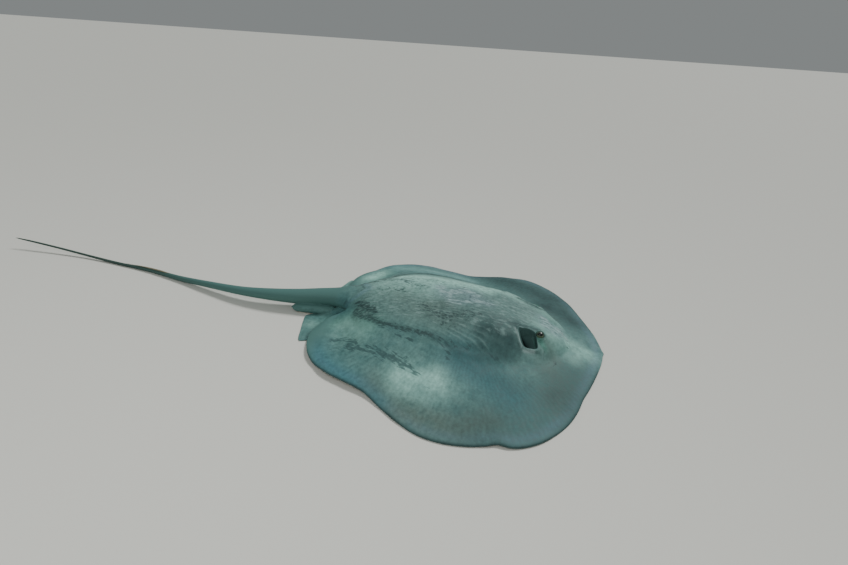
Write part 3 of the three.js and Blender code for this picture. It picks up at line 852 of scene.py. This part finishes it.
# %% Strokes of tint
BLUE = [
    (0.045, 0.80, ONE, [(1.04, -0.27), (0.97, -0.345), (0.90, -0.395), (0.80, -0.44), (0.73, -0.475)]),
    (0.055, 0.90, ONE, [(0.88, 0.35), (0.78, 0.31), (0.68, 0.31), (0.56, 0.35)]),
    (0.070, 0.75, ONE, [(0.50, -0.25), (0.40, -0.30), (0.32, -0.36)]),
    (0.030, 0.60, ONE, [(0.96, -0.10), (1.02, -0.055)]),
]
BROWN = [
    (0.050, 0.85, ONE, [(0.76, -0.42), (0.66, -0.480), (0.57, -0.510), (0.47, -0.515), (0.38, -0.47)]),
    (0.030, 0.55, ONE, [(0.65, -0.066), (0.59, -0.053)]),
    (0.030, 0.55, BOTH, [(0.215, 0.115), (0.19, 0.13)]),
    (0.055, 0.45, ONE, [(0.80, -0.02), (0.68, -0.09), (0.56, -0.12)]),
    (0.050, 0.60, ONE, [(0.20, -0.20), (0.16, -0.26), (0.19, -0.32)]),
]
GREEN = [
    (0.055, 0.55, ONE, [(1.02, -0.14), (0.95, -0.13), (0.86, -0.18)]),
    (0.060, 0.50, ONE, [(1.03, 0.23), (0.95, 0.28)]),
    (0.022, 0.70, ONE, [(0.23, 0.06), (0.20, 0.03), (0.17, 0.01)]),
    (0.013, 0.90, BOTH, [(0.262, 0.112), (0.243, 0.119), (0.226, 0.126)]),
]
print(len(BLUE) + len(BROWN) + len(GREEN), "strokes of tint")

# %% Strokes of specks and scrapes
SPECKS = [
    (0.014, 0.95, BOTH, [(0.93, 0.118), (0.88, 0.155), (0.81, 0.190), (0.73, 0.209), (0.62, 0.217)]),
    (0.016, 0.55, BOTH, [(0.62, 0.217), (0.54, 0.228), (0.50, 0.236)]),
    (0.016, 0.80, ONE, [(1.00, 0.035), (0.95, 0.045), (0.90, 0.060)]),
    (0.020, 0.95, BOTH, [(0.93, 0.081), (0.89, 0.104), (0.845, 0.138)]),
    (0.026, 0.80, ONE, [(0.87, 0.085), (0.80, 0.085), (0.75, 0.055), (0.71, 0.04)]),
    (0.024, 0.70, ONE, [(0.86, 0.0), (0.80, 0.005), (0.76, -0.012)]),
    (0.024, 0.55, ONE, [(0.78, 0.12), (0.70, 0.115), (0.64, 0.10)]),
    (0.026, 0.72, ONE, [(0.68, -0.08), (0.64, -0.103), (0.59, -0.12), (0.55, -0.10), (0.50, -0.082)]),
    (0.018, 0.55, ONE, [(0.59, -0.15), (0.54, -0.166)]),
    (0.009, 0.95, ONE, [(0.470, -0.075), (0.462, -0.074)]),
    (0.022, 0.50, ONE, [(0.635, 0.052), (0.63, 0.01), (0.56, 0.09), (0.53, 0.064)]),
    (0.024, 0.50, ONE, [(0.225, -0.135), (0.20, -0.155), (0.175, -0.145)]),
    (0.016, 0.45, ONE, [(0.19, 0.05), (0.15, 0.0), (0.13, -0.05)]),
    (0.030, 0.35, ONE, [(0.63, -0.39), (0.57, -0.38)]),
]
FOLDS = [
    (0.020, 0.90, BOTH, [(0.55, 0.190), (0.49, 0.195), (0.435, 0.202)]),
    (0.026, 0.45, BOTH, [(0.53, 0.150), (0.45, 0.158)]),
    (0.035, 0.40, ONE, [(0.25, 0.05), (0.20, 0.02), (0.15, 0.01)]),
    (0.040, 0.30, BOTH, [(0.70, 0.20), (0.60, 0.21)]),
]
STREAKS = [
    (0.015, 0.95, ONE, [(0.968, -0.245), (0.94, -0.236), (0.91, -0.240), (0.87, -0.262)]),
    (0.021, 0.95, ONE, [(0.90, -0.270), (0.86, -0.294), (0.80, -0.292), (0.74, -0.304), (0.69, -0.312)]),
    (0.014, 0.95, ONE, [(0.74, -0.304), (0.69, -0.318), (0.655, -0.332), (0.625, -0.352)]),
    (0.012, 0.50, ONE, [(0.97, -0.275), (0.94, -0.285), (0.90, -0.282)]),
    (0.008, 0.90, ONE, [(0.81, -0.193), (0.77, -0.209)]),
    (0.008, 0.85, ONE, [(0.735, -0.221), (0.70, -0.228), (0.675, -0.231)]),
    (0.014, 0.90, ONE, [(0.585, -0.212), (0.565, -0.223), (0.545, -0.243), (0.55, -0.264)]),
    (0.016, 0.55, ONE, [(0.50, -0.20), (0.44, -0.20), (0.38, -0.212)]),
]
SCRAPES = [
    (0.034, 1.00, ONE, [(0.635, 0.050), (0.61, 0.010), (0.57, 0.035), (0.53, 0.062), (0.50, 0.025)]),
    (0.020, 0.80, ONE, [(0.585, -0.030), (0.548, -0.028), (0.50, 0.0), (0.44, -0.002)]),
    (0.007, 1.00, ONE, [(0.160, 0.004), (0.139, -0.010)]),
    (0.024, 1.00, ONE, [(0.235, 0.034), (0.20, 0.008), (0.165, 0.015)]),
    (0.020, 0.90, ONE, [(0.235, -0.005), (0.205, -0.025), (0.175, -0.02)]),
    (0.020, 0.55, ONE, [(0.80, 0.09), (0.77, 0.075)]),
]


def stroke(points, reach, side):
    """A soft mark along a line: 1 on it, fading over the reach."""
    distance, _ = along(points, skin_behind, side)
    return hump(distance, 0, reach)


def paint(strokes):
    """Several strokes laid over each other."""
    clear = np.ones(len(spots))
    for reach, strength, mirrored, points in strokes:
        clear = clear * (1 - strength * stroke(points, reach, skin_away if mirrored else skin_side))
    return (1 - clear) * upward


def add_mask(name, values, low=0.0, high=1.0):
    """Stores one number for each point of the skin, where a material can read it by name."""
    layer = skin.data.attributes.new(name, "FLOAT", "POINT")
    layer.data.foreach_set("value", np.clip(values, low, high).astype(np.float32))


for name, strokes in (
    ("shade", SHADE), ("light", LIGHT), ("lip", LIP), ("blue", BLUE), ("brown", BROWN),
    ("green", GREEN), ("specks", SPECKS), ("folds", FOLDS), ("streaks", STREAKS),
    ("scrapes", SCRAPES),
):
    add_mask(name, paint(strokes))
    print(name, "from", len(strokes), "strokes")

# %% [markdown]
# A few masks follow from the form itself: the white underside, the inside of the spiracles,
# which painted shade darkens down to a near-black throat, the margin of the disc, where painted
# shade darkens the underside, the trunk, and the tail. Two more numbers, `flow_along` and
# `flow_across`, are coordinates that run with the body and slant outwards on the fins. Streaks
# that are drawn in them lie along the fin instead of along a ruler. The number `fan` is the
# angle about the point where the fin rays would meet.

# %% Masks from the form
FLOW_SLANT = 0.36  # sideways drift of the fin rays for each metre ahead

from_spiracle = spiracle_place(skin_behind, skin_away)[0]
pelvic = (~on_disc) & (skin_behind > 0.9) & (skin_height < 0.03) & (skin_away > 0.05)
below = np.where(on_disc & (skin_height < 0.045), 1 - upward, 0)
below = np.maximum(below, pelvic * ramp(-normals[:, 2], 0.2, 0.6) * (skin_height < 0.004))
add_mask("belly", below)
in_head = (skin_height > 0.02) * (skin_behind < 0.4)
# The inside of the spiracles is darkened with painted shade, down to a near-black throat.
add_mask("cavity", (1 - ramp(from_spiracle, 0.94, 1.03)) * in_head)
add_mask("throat", (1 - ramp(from_spiracle, 0.25, 0.85)) * in_head)
# The margin darkens the underside along the rim with painted shade.
add_mask("margin", hump(skin_inwards, 0, 0.012) * on_disc)
# A dark line along the upper rim of the disc, partly painted contact shadow.
add_mask("edge", hump(skin_inwards, 0, 0.006) * on_disc * upward * (skin_behind > 0.03))
# Painted shadow that the disc's rear margin casts on the pelvic fins.
add_mask("lap_shadow", hump(skin_inwards, -0.003, 0.011) * pelvic * upward)
add_mask("inner_margin", hump(skin_inwards, 0.024, 0.016) * on_disc * upward)
trunk_length = ramp(skin_behind, 0.1, 0.3) * (1 - ramp(skin_behind, 0.9, 1.0))
add_mask("trunk", (1 - ramp(skin_away, 0.14, 0.23)) * trunk_length)
add_mask("tail", ramp(skin_behind, 0.97, 1.06) * ~pelvic)
add_mask("whip", ramp(skin_behind, 1.5, 2.2))
add_mask("flow_along", skin_behind, -1, 4)
add_mask("fan", np.arctan2(skin_away - 0.05, RAY_CENTRE - skin_behind), -4, 4)
add_mask("fin", on_disc * upward * ramp(skin_away, 0.22, 0.30) * ramp(skin_inwards, 0.004, 0.03))
drift = FLOW_SLANT * ramp(skin_away, 0.10, 0.28) * (skin_behind - 0.65)
add_mask("flow_across", skin_away + drift, -1, 2)
print("masks:", [layer.name for layer in skin.data.attributes if layer.data_type == "FLOAT"])

# %% [markdown]
# ## Materials
# One helper turns sRGB hex colours to the linear values that shaders take, and one adds a node
# with its settings and links. Every finish below is put together from these two.

# %% Helpers for materials
def linear(hex_colour):
    """Red, green, blue and full opacity in linear light, from sRGB hex."""
    channels = [int(hex_colour[i : i + 2], 16) / 255 for i in (1, 3, 5)]
    return [c / 12.92 if c <= 0.04045 else ((c + 0.055) / 1.055) ** 2.4 for c in channels] + [1.0]


def new_material(name):
    material = bpy.data.materials.new(name)
    material.use_nodes = True
    material.node_tree.nodes.clear()
    return material


def node(material, kind, settings=None, **inputs):
    """Adds a node. An input is a value, a hex colour or a socket to link; _6 is input number 6."""
    made = material.node_tree.nodes.new(kind)
    for key, value in (settings or {}).items():
        setattr(made, key, value)
    for key, value in inputs.items():
        socket = made.inputs[int(key[1:]) if key[0] == "_" else key.replace("_", " ")]
        if isinstance(value, bpy.types.NodeSocket):
            material.node_tree.links.new(value, socket)
        elif isinstance(value, str):
            socket.default_value = linear(value)
        else:
            socket.default_value = value
    return made


print("mid grey in linear light:", [round(c, 3) for c in linear("#808080")])

# %% [markdown]
# ## Ray skin
# The skin of a whiptail ray is thick leather under a film of slime. Tiny tooth-like scales make
# it feel like fine sandpaper, but the slime fills them, so it looks like a matt, slightly
# silky surface: a roughness of about a half and the IOR of water-soaked tissue, 1.38. Its
# colour is a slate green grey in clouds of up to 40 mm, which the masks turn bluer or browner,
# darker with painted shade and paler with painted light. Specks are noise cut off at a
# threshold, some 8 mm by 20 mm. Streaks and scrapes are the same noise drawn out along the flow
# of the body. The creases behind the spiracles get painted light on their crests and painted
# shade in their hollows. Over all this lie a fine grain and, on the fins, the faint rays.

# %% Colours of the ray
SLATE_LIGHT = "#608681"
SLATE_DARK = "#496f6d"
TRUNK_SKIN = "#67847e"
MARGIN_SKIN = "#61828d"
TINTS = (  # mask, colour, strength
    ("brown", "#5a6c64", 1.0),
    ("blue", "#3c7078", 0.9),
    ("green", "#54887b", 1.0),
    # painted light
    ("light", "#a4d8ca", 1.0),
    ("scrapes", "#7b909a", 0.45),
    # painted shade
    ("shade", "#284545", 1.0),
    # dark rim line, partly painted contact shadow
    ("edge", "#2a4041", 0.8),
    # painted shadow of the disc's rear margin on the pelvic fins
    ("lap_shadow", "#1f3638", 0.7),
)
GRAINS = (  # mask, noise, level of the noise without and with the mask, softness, strength, colour
    ("trunk", "dashes", 0.95, 0.54, 0.16, 0.36, "#2f4646"),
    ("trunk", "lines", 0.95, 0.57, 0.16, 0.32, "#93b1ac"),
    ("specks", "dashes", 0.74, 0.41, 0.12, 0.72, "#2b4040"),
    ("streaks", "lines", 0.74, 0.42, 0.13, 0.70, "#2f4a4b"),
    ("scrapes", "dashes", 0.90, 0.50, 0.12, 0.50, "#344a4c"),
    ("scrapes", "lines", 0.80, 0.47, 0.14, 0.60, "#9dbab8"),
)
# painted light on the crests of the creases and painted shade in their hollows
FOLD_CREST_PAINTED_LIGHT, FOLD_HOLLOW_PAINTED_SHADE = "#86a5a0", "#2f4646"
LIP_SKIN = "#93a9a6"
TAIL_SKIN = "#507671"
WHIP_SKIN = "#40544e"
BELLY_SKIN = "#e6e0d2"
# painted shade on the underside along the rim, where the margin lifts off the floor
BELLY_RIM_PAINTED_SHADE = "#5f6c67"
# painted shade inside the spiracles, darkest in the throat
CAVITY_PAINTED_SHADE = "#44615e"
THROAT_PAINTED_SHADE = "#16201f"
print(len(TINTS), "tints and", len(GRAINS), "grains")

# %% Masks and noises of the skin
MASKS = (
    "belly", "cavity", "throat", "shade", "light", "lip", "blue", "brown", "green", "specks",
    "streaks", "scrapes", "folds", "edge", "lap_shadow", "margin", "inner_margin", "trunk", "tail",
    "whip", "fin", "fan", "flow_along", "flow_across",
)
NOISES = {  # what it is laid over, waves to the metre, octaves, roughness
    "clouds": ("place", 24, 6, 0.62),  # 42 mm
    "grain": ("place", 85, 3, 0.6),  # 12 mm
    "fine": ("place", 420, 2, 0.6),  # 2.4 mm
    "lines": ("drawn_out", 1, 3, 0.6),
    "dashes": ("short", 1, 4, 0.7),
}
DRAWN_OUT = (30, 105, 1)  # waves to the metre along and across the flow: 33 by 10 mm
SHORT = (52, 125, 1)  # 19 by 8 mm
RAY_CONTRAST = 0.045
FOLD_SPACING = 0.0105  # metres from one crease of the gill region to the next
MIX = {"data_type": "RGBA"}
SHADE_MIX = {"data_type": "RGBA", "blend_type": "MULTIPLY"}
TIMES = {"operation": "MULTIPLY"}
TIMES_PLUS = {"operation": "MULTIPLY_ADD"}
print(len(MASKS), "masks and", len(NOISES), "noises")


# %% Ray skin material
def ray_skin():
    material = new_material("ray_skin_slimed_leather")
    mask = {
        name: node(material, "ShaderNodeAttribute", {"attribute_name": name}).outputs["Fac"]
        for name in MASKS
    }
    place = node(material, "ShaderNodeTexCoord").outputs["Object"]
    flow = node(
        material, "ShaderNodeCombineXYZ", X=mask["flow_along"], Y=mask["flow_across"]
    ).outputs[0]
    ground = {
        "place": place,
        "drawn_out": node(material, "ShaderNodeMapping", Vector=flow, Scale=DRAWN_OUT).outputs[0],
        "short": node(material, "ShaderNodeMapping", Vector=flow, Scale=SHORT).outputs[0],
    }
    noise = {
        name: node(
            material, "ShaderNodeTexNoise", Vector=ground[over], Scale=waves, Detail=octaves,
            Roughness=roughness,
        ).outputs["Fac"]
        for name, (over, waves, octaves, roughness) in NOISES.items()
    }

    # clouds of slate, then the trunk, the margin and the tints of the masks, painted shade and painted
    # light among them
    cloud = node(material, "ShaderNodeMapRange", Value=noise["clouds"], _1=0.34, _2=0.66).outputs[0]
    colour = node(material, "ShaderNodeMix", MIX, _0=cloud, _6=SLATE_DARK, _7=SLATE_LIGHT).outputs[2]
    for name, strength, tint in (("trunk", 0.6, TRUNK_SKIN), ("inner_margin", 0.55, MARGIN_SKIN)):
        amount = node(material, "ShaderNodeMath", TIMES, _0=mask[name], _1=strength).outputs[0]
        colour = node(material, "ShaderNodeMix", MIX, _0=amount, _6=colour, _7=tint).outputs[2]
    for name, tint, strength in TINTS:
        uneven = node(
            material, "ShaderNodeMapRange", Value=noise["clouds"], _1=0.3, _2=0.6,
            _3=0.62 * strength, _4=strength,
        ).outputs[0]
        amount = node(material, "ShaderNodeMath", TIMES, _0=mask[name], _1=uneven).outputs[0]
        colour = node(material, "ShaderNodeMix", MIX, _0=amount, _6=colour, _7=tint).outputs[2]

    # specks, streaks and scrapes: noise cut off at a level that the mask lowers
    for name, kind, bare, full, softness, strength, tint in GRAINS:
        level = node(material, "ShaderNodeMapRange", Value=mask[name], _3=bare, _4=full).outputs[0]
        above = node(
            material, "ShaderNodeMath", {"operation": "SUBTRACT"}, _0=noise[kind], _1=level
        ).outputs[0]
        amount = node(
            material, "ShaderNodeMapRange", {"interpolation_type": "SMOOTHSTEP"},
            Value=above, _1=-0.5 * softness, _2=0.5 * softness, _4=strength,
        ).outputs[0]
        colour = node(material, "ShaderNodeMix", MIX, _0=amount, _6=colour, _7=tint).outputs[2]

    # creases behind the spiracles, bent by the clouds, with painted light on their crests and painted shade
    # in their hollows
    bend = node(material, "ShaderNodeMath", TIMES, _0=noise["clouds"], _1=6.0).outputs[0]
    phase = node(
        material, "ShaderNodeMath", TIMES_PLUS,
        _0=mask["flow_across"], _1=2 * pi / FOLD_SPACING, _2=bend,
    ).outputs[0]
    creases = node(material, "ShaderNodeMath", {"operation": "SINE"}, _0=phase).outputs[0]
    folds = node(material, "ShaderNodeMath", TIMES, _0=creases, _1=mask["folds"]).outputs[0]
    for low, high, strength, tint in ((0.1, 1.0, 0.26, FOLD_CREST_PAINTED_LIGHT), (-0.1, -1.0, 0.16, FOLD_HOLLOW_PAINTED_SHADE)):
        amount = node(material, "ShaderNodeMapRange", Value=folds, _1=low, _2=high, _4=strength)
        colour = node(
            material, "ShaderNodeMix", MIX, _0=amount.outputs[0], _6=colour, _7=tint
        ).outputs[2]

    # fin rays and grain make all of it lighter and darker
    bend = node(material, "ShaderNodeMath", TIMES, _0=noise["clouds"], _1=16.0).outputs[0]
    phase = node(
        material, "ShaderNodeMath", TIMES_PLUS, _0=mask["fan"], _1=RAY_WAVE, _2=bend
    ).outputs[0]
    rays = node(material, "ShaderNodeMath", {"operation": "SINE"}, _0=phase).outputs[0]
    rays = node(material, "ShaderNodeMath", TIMES, _0=rays, _1=mask["fin"]).outputs[0]
    speck = node(
        material, "ShaderNodeMapRange", Value=noise["grain"], _1=0.3, _2=0.7, _3=0.84, _4=1.16
    ).outputs[0]
    shine = node(
        material, "ShaderNodeMath", TIMES_PLUS, _0=rays, _1=RAY_CONTRAST, _2=speck
    ).outputs[0]
    grey = node(material, "ShaderNodeCombineColor", Red=shine, Green=shine, Blue=shine).outputs[0]
    colour = node(material, "ShaderNodeMix", SHADE_MIX, _0=1.0, _6=colour, _7=grey).outputs[2]

    # parts with a colour of their own; painted shade darkens the belly along the rim and the inside of the
    # spiracles
    belly = node(
        material, "ShaderNodeMix", MIX, _0=mask["margin"], _6=BELLY_SKIN, _7=BELLY_RIM_PAINTED_SHADE
    ).outputs[2]
    inside = node(
        material, "ShaderNodeMix", MIX, _0=mask["throat"], _6=CAVITY_PAINTED_SHADE, _7=THROAT_PAINTED_SHADE
    ).outputs[2]
    for name, tint in (
        ("lip", LIP_SKIN), ("tail", TAIL_SKIN), ("whip", WHIP_SKIN), ("belly", belly), ("cavity", inside),
    ):
        colour = node(material, "ShaderNodeMix", MIX, _0=mask[name], _6=colour, _7=tint).outputs[2]

    # relief, one bump over the other, up to about a millimetre high
    relief = {}
    for height, strength, distance in (
        (folds, 0.3, 0.0012), (noise["lines"], 0.25, 0.0012), (noise["grain"], 0.16, 0.0012),
        (noise["fine"], 0.3, 0.0004),
    ):
        bump = node(
            material, "ShaderNodeBump", Height=height, Strength=strength, Distance=distance, **relief
        )
        relief = {"Normal": bump.outputs[0]}
    rough = node(
        material, "ShaderNodeMapRange", Value=noise["grain"], _1=0.3, _2=0.7, _3=0.52, _4=0.68
    ).outputs[0]
    shader = node(
        material, "ShaderNodeBsdfPrincipled", Base_Color=colour, Roughness=rough, IOR=1.38,
        Specular_IOR_Level=0.28, **relief,
    )
    node(material, "ShaderNodeOutputMaterial", Surface=shader.outputs[0])
    return material


skin.data.materials.clear()
skin.data.materials.append(ray_skin())
made = skin.data.materials[0]
print("skin material:", made.name, "with", len(made.node_tree.nodes), "nodes")

# %% [markdown]
# ## Eyes
# A stingray's eye stands out of the head like half a marble, and the ray can draw it in, as
# it has done a little with the left one here. The iris is brass and olive, finely mottled
# like the skin round it, so that the eye does not give the buried animal away.
# By day a fringed flap comes down from the upper edge of the pupil and leaves only a dark
# crescent under the lid. Round all this lies the clear cornea, which makes one sharp highlight.
# The ball is a fine sphere with a slightly raised cornea; its own points carry the masks for
# iris and pupil, and a glossy coat on the same surface stands for the wet cornea.

# %% Eyeballs
IRIS_RADIUS = 0.0125
CORNEA_RISE = 0.0008
PUPIL = {"wide": 0.0104, "high": 0.0064, "above": 0.0058, "flap": 0.0048}


def eye(name, sign):
    """One eyeball that looks out of its socket; sign is 1 for the left eye and -1 for the right."""
    ball = bmesh.new()
    bmesh.ops.create_uvsphere(ball, u_segments=128, v_segments=80, radius=EYE["radius"])
    for vert in ball.verts:
        off_axis = np.hypot(vert.co.x, vert.co.y) if vert.co.z > 0 else 1.0
        vert.co *= 1 + CORNEA_RISE / EYE["radius"] * float(1 - ramp(off_axis, 0.004, IRIS_RADIUS))
    mesh = bpy.data.meshes.new(name)
    ball.to_mesh(mesh)
    ball.free()
    mesh.shade_smooth()
    across, up, outward = np.array([vert.co[:] for vert in mesh.vertices]).T
    off_axis = np.hypot(across, up)
    pupil_edge = ((across / PUPIL["wide"]) ** 2 + ((up - PUPIL["above"]) / PUPIL["high"]) ** 2) ** 0.5
    fringe = 0.0005 * np.cos(across / 0.0011)
    flap_edge = up - PUPIL["above"] - PUPIL["flap"] + (across / 0.009) ** 2 * 0.004 + fringe
    flap = ramp(flap_edge, -0.0003, 0.0003)
    front = outward > 0
    masks = {
        "iris": (1 - ramp(off_axis, IRIS_RADIUS - 0.0012, IRIS_RADIUS)) * front,
        "pupil": (1 - ramp(pupil_edge, 0.88, 1.0)) * (1 - flap) * front,
        "ring": hump(off_axis, IRIS_RADIUS - 0.0006, 0.0009) * front,
    }
    for layer_name, values in masks.items():
        layer = mesh.attributes.new(layer_name, "FLOAT", "POINT")
        layer.data.foreach_set("value", values.astype(np.float32))
    made = bpy.data.objects.new(name, mesh)
    bpy.context.scene.collection.objects.link(made)
    backbone = float(follow(BACKBONE, EYE["behind"] / MM))
    height = EYE["height"] - (LEFT_EYE_DROP if sign > 0 else 0)
    made.location = (backbone + sign * EYE["side"], EYE["behind"] - SNOUT_TO_ORIGIN, height)
    made.rotation_mode = "QUATERNION"
    made.rotation_quaternion = Vector((sign * LOOK.x, LOOK.y, LOOK.z)).to_track_quat("Z", "Y")
    return made


def eye_finish():
    material = new_material("ray_eye_brass_iris_under_wet_cornea")
    place = node(material, "ShaderNodeTexCoord").outputs["Object"]
    mask = {
        name: node(material, "ShaderNodeAttribute", {"attribute_name": name}).outputs["Fac"]
        for name in ("iris", "pupil", "ring")
    }
    mottle = node(
        material, "ShaderNodeTexNoise", Vector=place, Scale=900, Detail=3, Roughness=0.65
    ).outputs["Fac"]
    spread = node(material, "ShaderNodeMapRange", Value=mottle, _1=0.35, _2=0.65).outputs[0]
    iris = node(material, "ShaderNodeMix", MIX, _0=spread, _6="#37483a", _7="#5f7558").outputs[2]
    white = node(material, "ShaderNodeMix", MIX, _0=spread, _6="#36483f", _7="#4e6357").outputs[2]
    colour = node(material, "ShaderNodeMix", MIX, _0=mask["iris"], _6=white, _7=iris).outputs[2]
    colour = node(material, "ShaderNodeMix", MIX, _0=mask["ring"], _6=colour, _7="#2a3126").outputs[2]
    colour = node(material, "ShaderNodeMix", MIX, _0=mask["pupil"], _6=colour, _7="#040606").outputs[2]
    shader = node(
        material, "ShaderNodeBsdfPrincipled", Base_Color=colour, Roughness=0.4, IOR=1.38,
        Coat_Weight=0.3, Coat_Roughness=0.08, Coat_IOR=1.38,
    )
    node(material, "ShaderNodeOutputMaterial", Surface=shader.outputs[0])
    return material


eye_material = eye_finish()
eyes = [eye("eyeball_left", 1), eye("eyeball_right", -1)]
for ball in eyes:
    ball.data.materials.append(eye_material)
print("eyes:", [ball.name for ball in eyes], "of", 2 * EYE["radius"], "m")

# %% [markdown]
# ## Sting
# The sting is a flat dagger of dentine, 24 cm long, lying on top of the tail with its free tip
# pointing back. Small barbs along both edges point forwards. A real sting has two grooves
# underneath that hold the venom tissue; this one is built without them. It is built from rings
# across its length: the barbs are a saw-tooth in the half width, so one loop makes all of them.
# Water and mud have stained it ivory brown.

# %% Sting with its barbs
STING = {
    "start": 1.835, "end": 2.075, "half_width": 0.0042, "half_height": 0.0022, "tip_lift": 0.003,
}
BARB_SPACING = 0.0034
BARB_DEPTH = 0.0011


def sting_blade():
    start, end = STING["start"], STING["end"]
    places = np.arange(start, end, BARB_SPACING / 6)
    progress = (places - start) / (end - start)
    aside, middle, wide, high = tail_form(places)
    taper = np.minimum(1, 0.35 + 4 * progress) * (1 - ramp(progress, 0.35, 1.0) * 0.9)
    tooth = 1 - (places / BARB_SPACING) % 1
    barbs = BARB_DEPTH * tooth * ramp(progress, 0.15, 0.3) * (1 - ramp(progress, 0.88, 0.97))
    half = np.maximum(STING["half_width"] * taper - barbs, 0.0004)
    thick = np.maximum(STING["half_height"] * taper, 0.0005)
    lift = STING["tip_lift"] * ramp(progress, 0.3, 1)
    level = middle + high + thick * 0.55 + lift
    middles = [(x, b - SNOUT_TO_ORIGIN, z) for x, b, z in zip(aside, places, level)]
    return rod(middles, half, thick, 12)


def horn_finish():
    material = new_material("sting_dentine")
    place = node(material, "ShaderNodeTexCoord").outputs["Object"]
    long_grain = node(material, "ShaderNodeMapping", Vector=place, Scale=(900, 60, 900)).outputs[0]
    growth = node(
        material, "ShaderNodeTexNoise", Vector=long_grain, Scale=1, Detail=3, Roughness=0.6
    ).outputs["Fac"]
    spread = node(material, "ShaderNodeMapRange", Value=growth, _1=0.3, _2=0.7).outputs[0]
    colour = node(material, "ShaderNodeMix", MIX, _0=spread, _6="#5d5b48", _7="#948d71").outputs[2]
    relief = node(material, "ShaderNodeBump", Height=growth, Strength=0.3, Distance=0.0003)
    shader = node(
        material, "ShaderNodeBsdfPrincipled", Base_Color=colour, Roughness=0.42, IOR=1.55,
        Normal=relief.outputs[0],
    )
    node(material, "ShaderNodeOutputMaterial", Surface=shader.outputs[0])
    return material


sting = as_object("sting_blade", sting_blade())
sting.data.shade_smooth()
sting.data.materials.append(horn_finish())
print("sting:", len(sting.data.vertices), "points,", STING["end"] - STING["start"], "m long")

# %% [markdown]
# ## Floor and light
# The floor is one plain, pale, matt face, half a millimetre under the belly and so wide that
# its end makes a horizon. The light is what a ray gets in shallow water: a soft sun that
# stands high ahead of the left wing, sky light from all round, and a large soft lamp above the
# right wing that keeps the near side from falling dark.

# %% Floor
FLOOR_REACH = 400  # metres
FLOOR_LEVEL = -0.0005
floor_net = bmesh.new()
bmesh.ops.create_grid(floor_net, x_segments=1, y_segments=1, size=FLOOR_REACH)
floor_mesh = bpy.data.meshes.new("floor")
floor_net.to_mesh(floor_mesh)
floor_net.free()
floor = bpy.data.objects.new("floor", floor_mesh)
bpy.context.scene.collection.objects.link(floor)
floor.location.z = FLOOR_LEVEL
floor_paint = new_material("studio_floor")
floor_shader = node(floor_paint, "ShaderNodeBsdfPrincipled", Base_Color="#d8d8d0", Roughness=0.9)
node(floor_paint, "ShaderNodeOutputMaterial", Surface=floor_shader.outputs[0])
floor_mesh.materials.append(floor_paint)
print("floor at", FLOOR_LEVEL, "m")


# %% Lamps and sky
def add_lamp(name, kind, place, direction):
    light = bpy.data.lights.new(name, kind)
    lamp = bpy.data.objects.new(name, light)
    lamp.location = place
    lamp.rotation_euler = Vector(direction).to_track_quat("-Z", "Y").to_euler()
    bpy.context.scene.collection.objects.link(lamp)
    return light


sun = add_lamp("key", "SUN", (0, 0, 0), (-1.7, 1.1, -2.6))
sun.energy, sun.angle = 2.15, radians(14)
fill = add_lamp("fill", "AREA", (-2.2, 0.5, 2.6), (2.2, -0.25, -2.55))
fill.energy, fill.size = 30, 2.0
world = bpy.data.worlds.new("studio")
bpy.context.scene.world = world
world.use_nodes = True
sky = world.node_tree.nodes["Background"].inputs
sky["Color"].default_value = linear("#e8efef")
sky["Strength"].default_value = 0.28
print("lamps:", [light.name for light in bpy.data.lights])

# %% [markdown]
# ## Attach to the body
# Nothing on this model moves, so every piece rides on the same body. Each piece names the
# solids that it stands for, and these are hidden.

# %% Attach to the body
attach(skin, "root")
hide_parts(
    "head", "trunk", "tail_base", "tail_middle", "tail_whip", "tail_tip", "pectoral_fin_left",
    "pectoral_fin_right", "pelvic_fin_left", "pelvic_fin_right", "clasper_left", "clasper_right",
)
for ball, node_name in zip(eyes, ("eye_left", "eye_right")):
    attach(ball, "root")
    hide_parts(node_name)
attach(sting, "root")
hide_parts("sting")
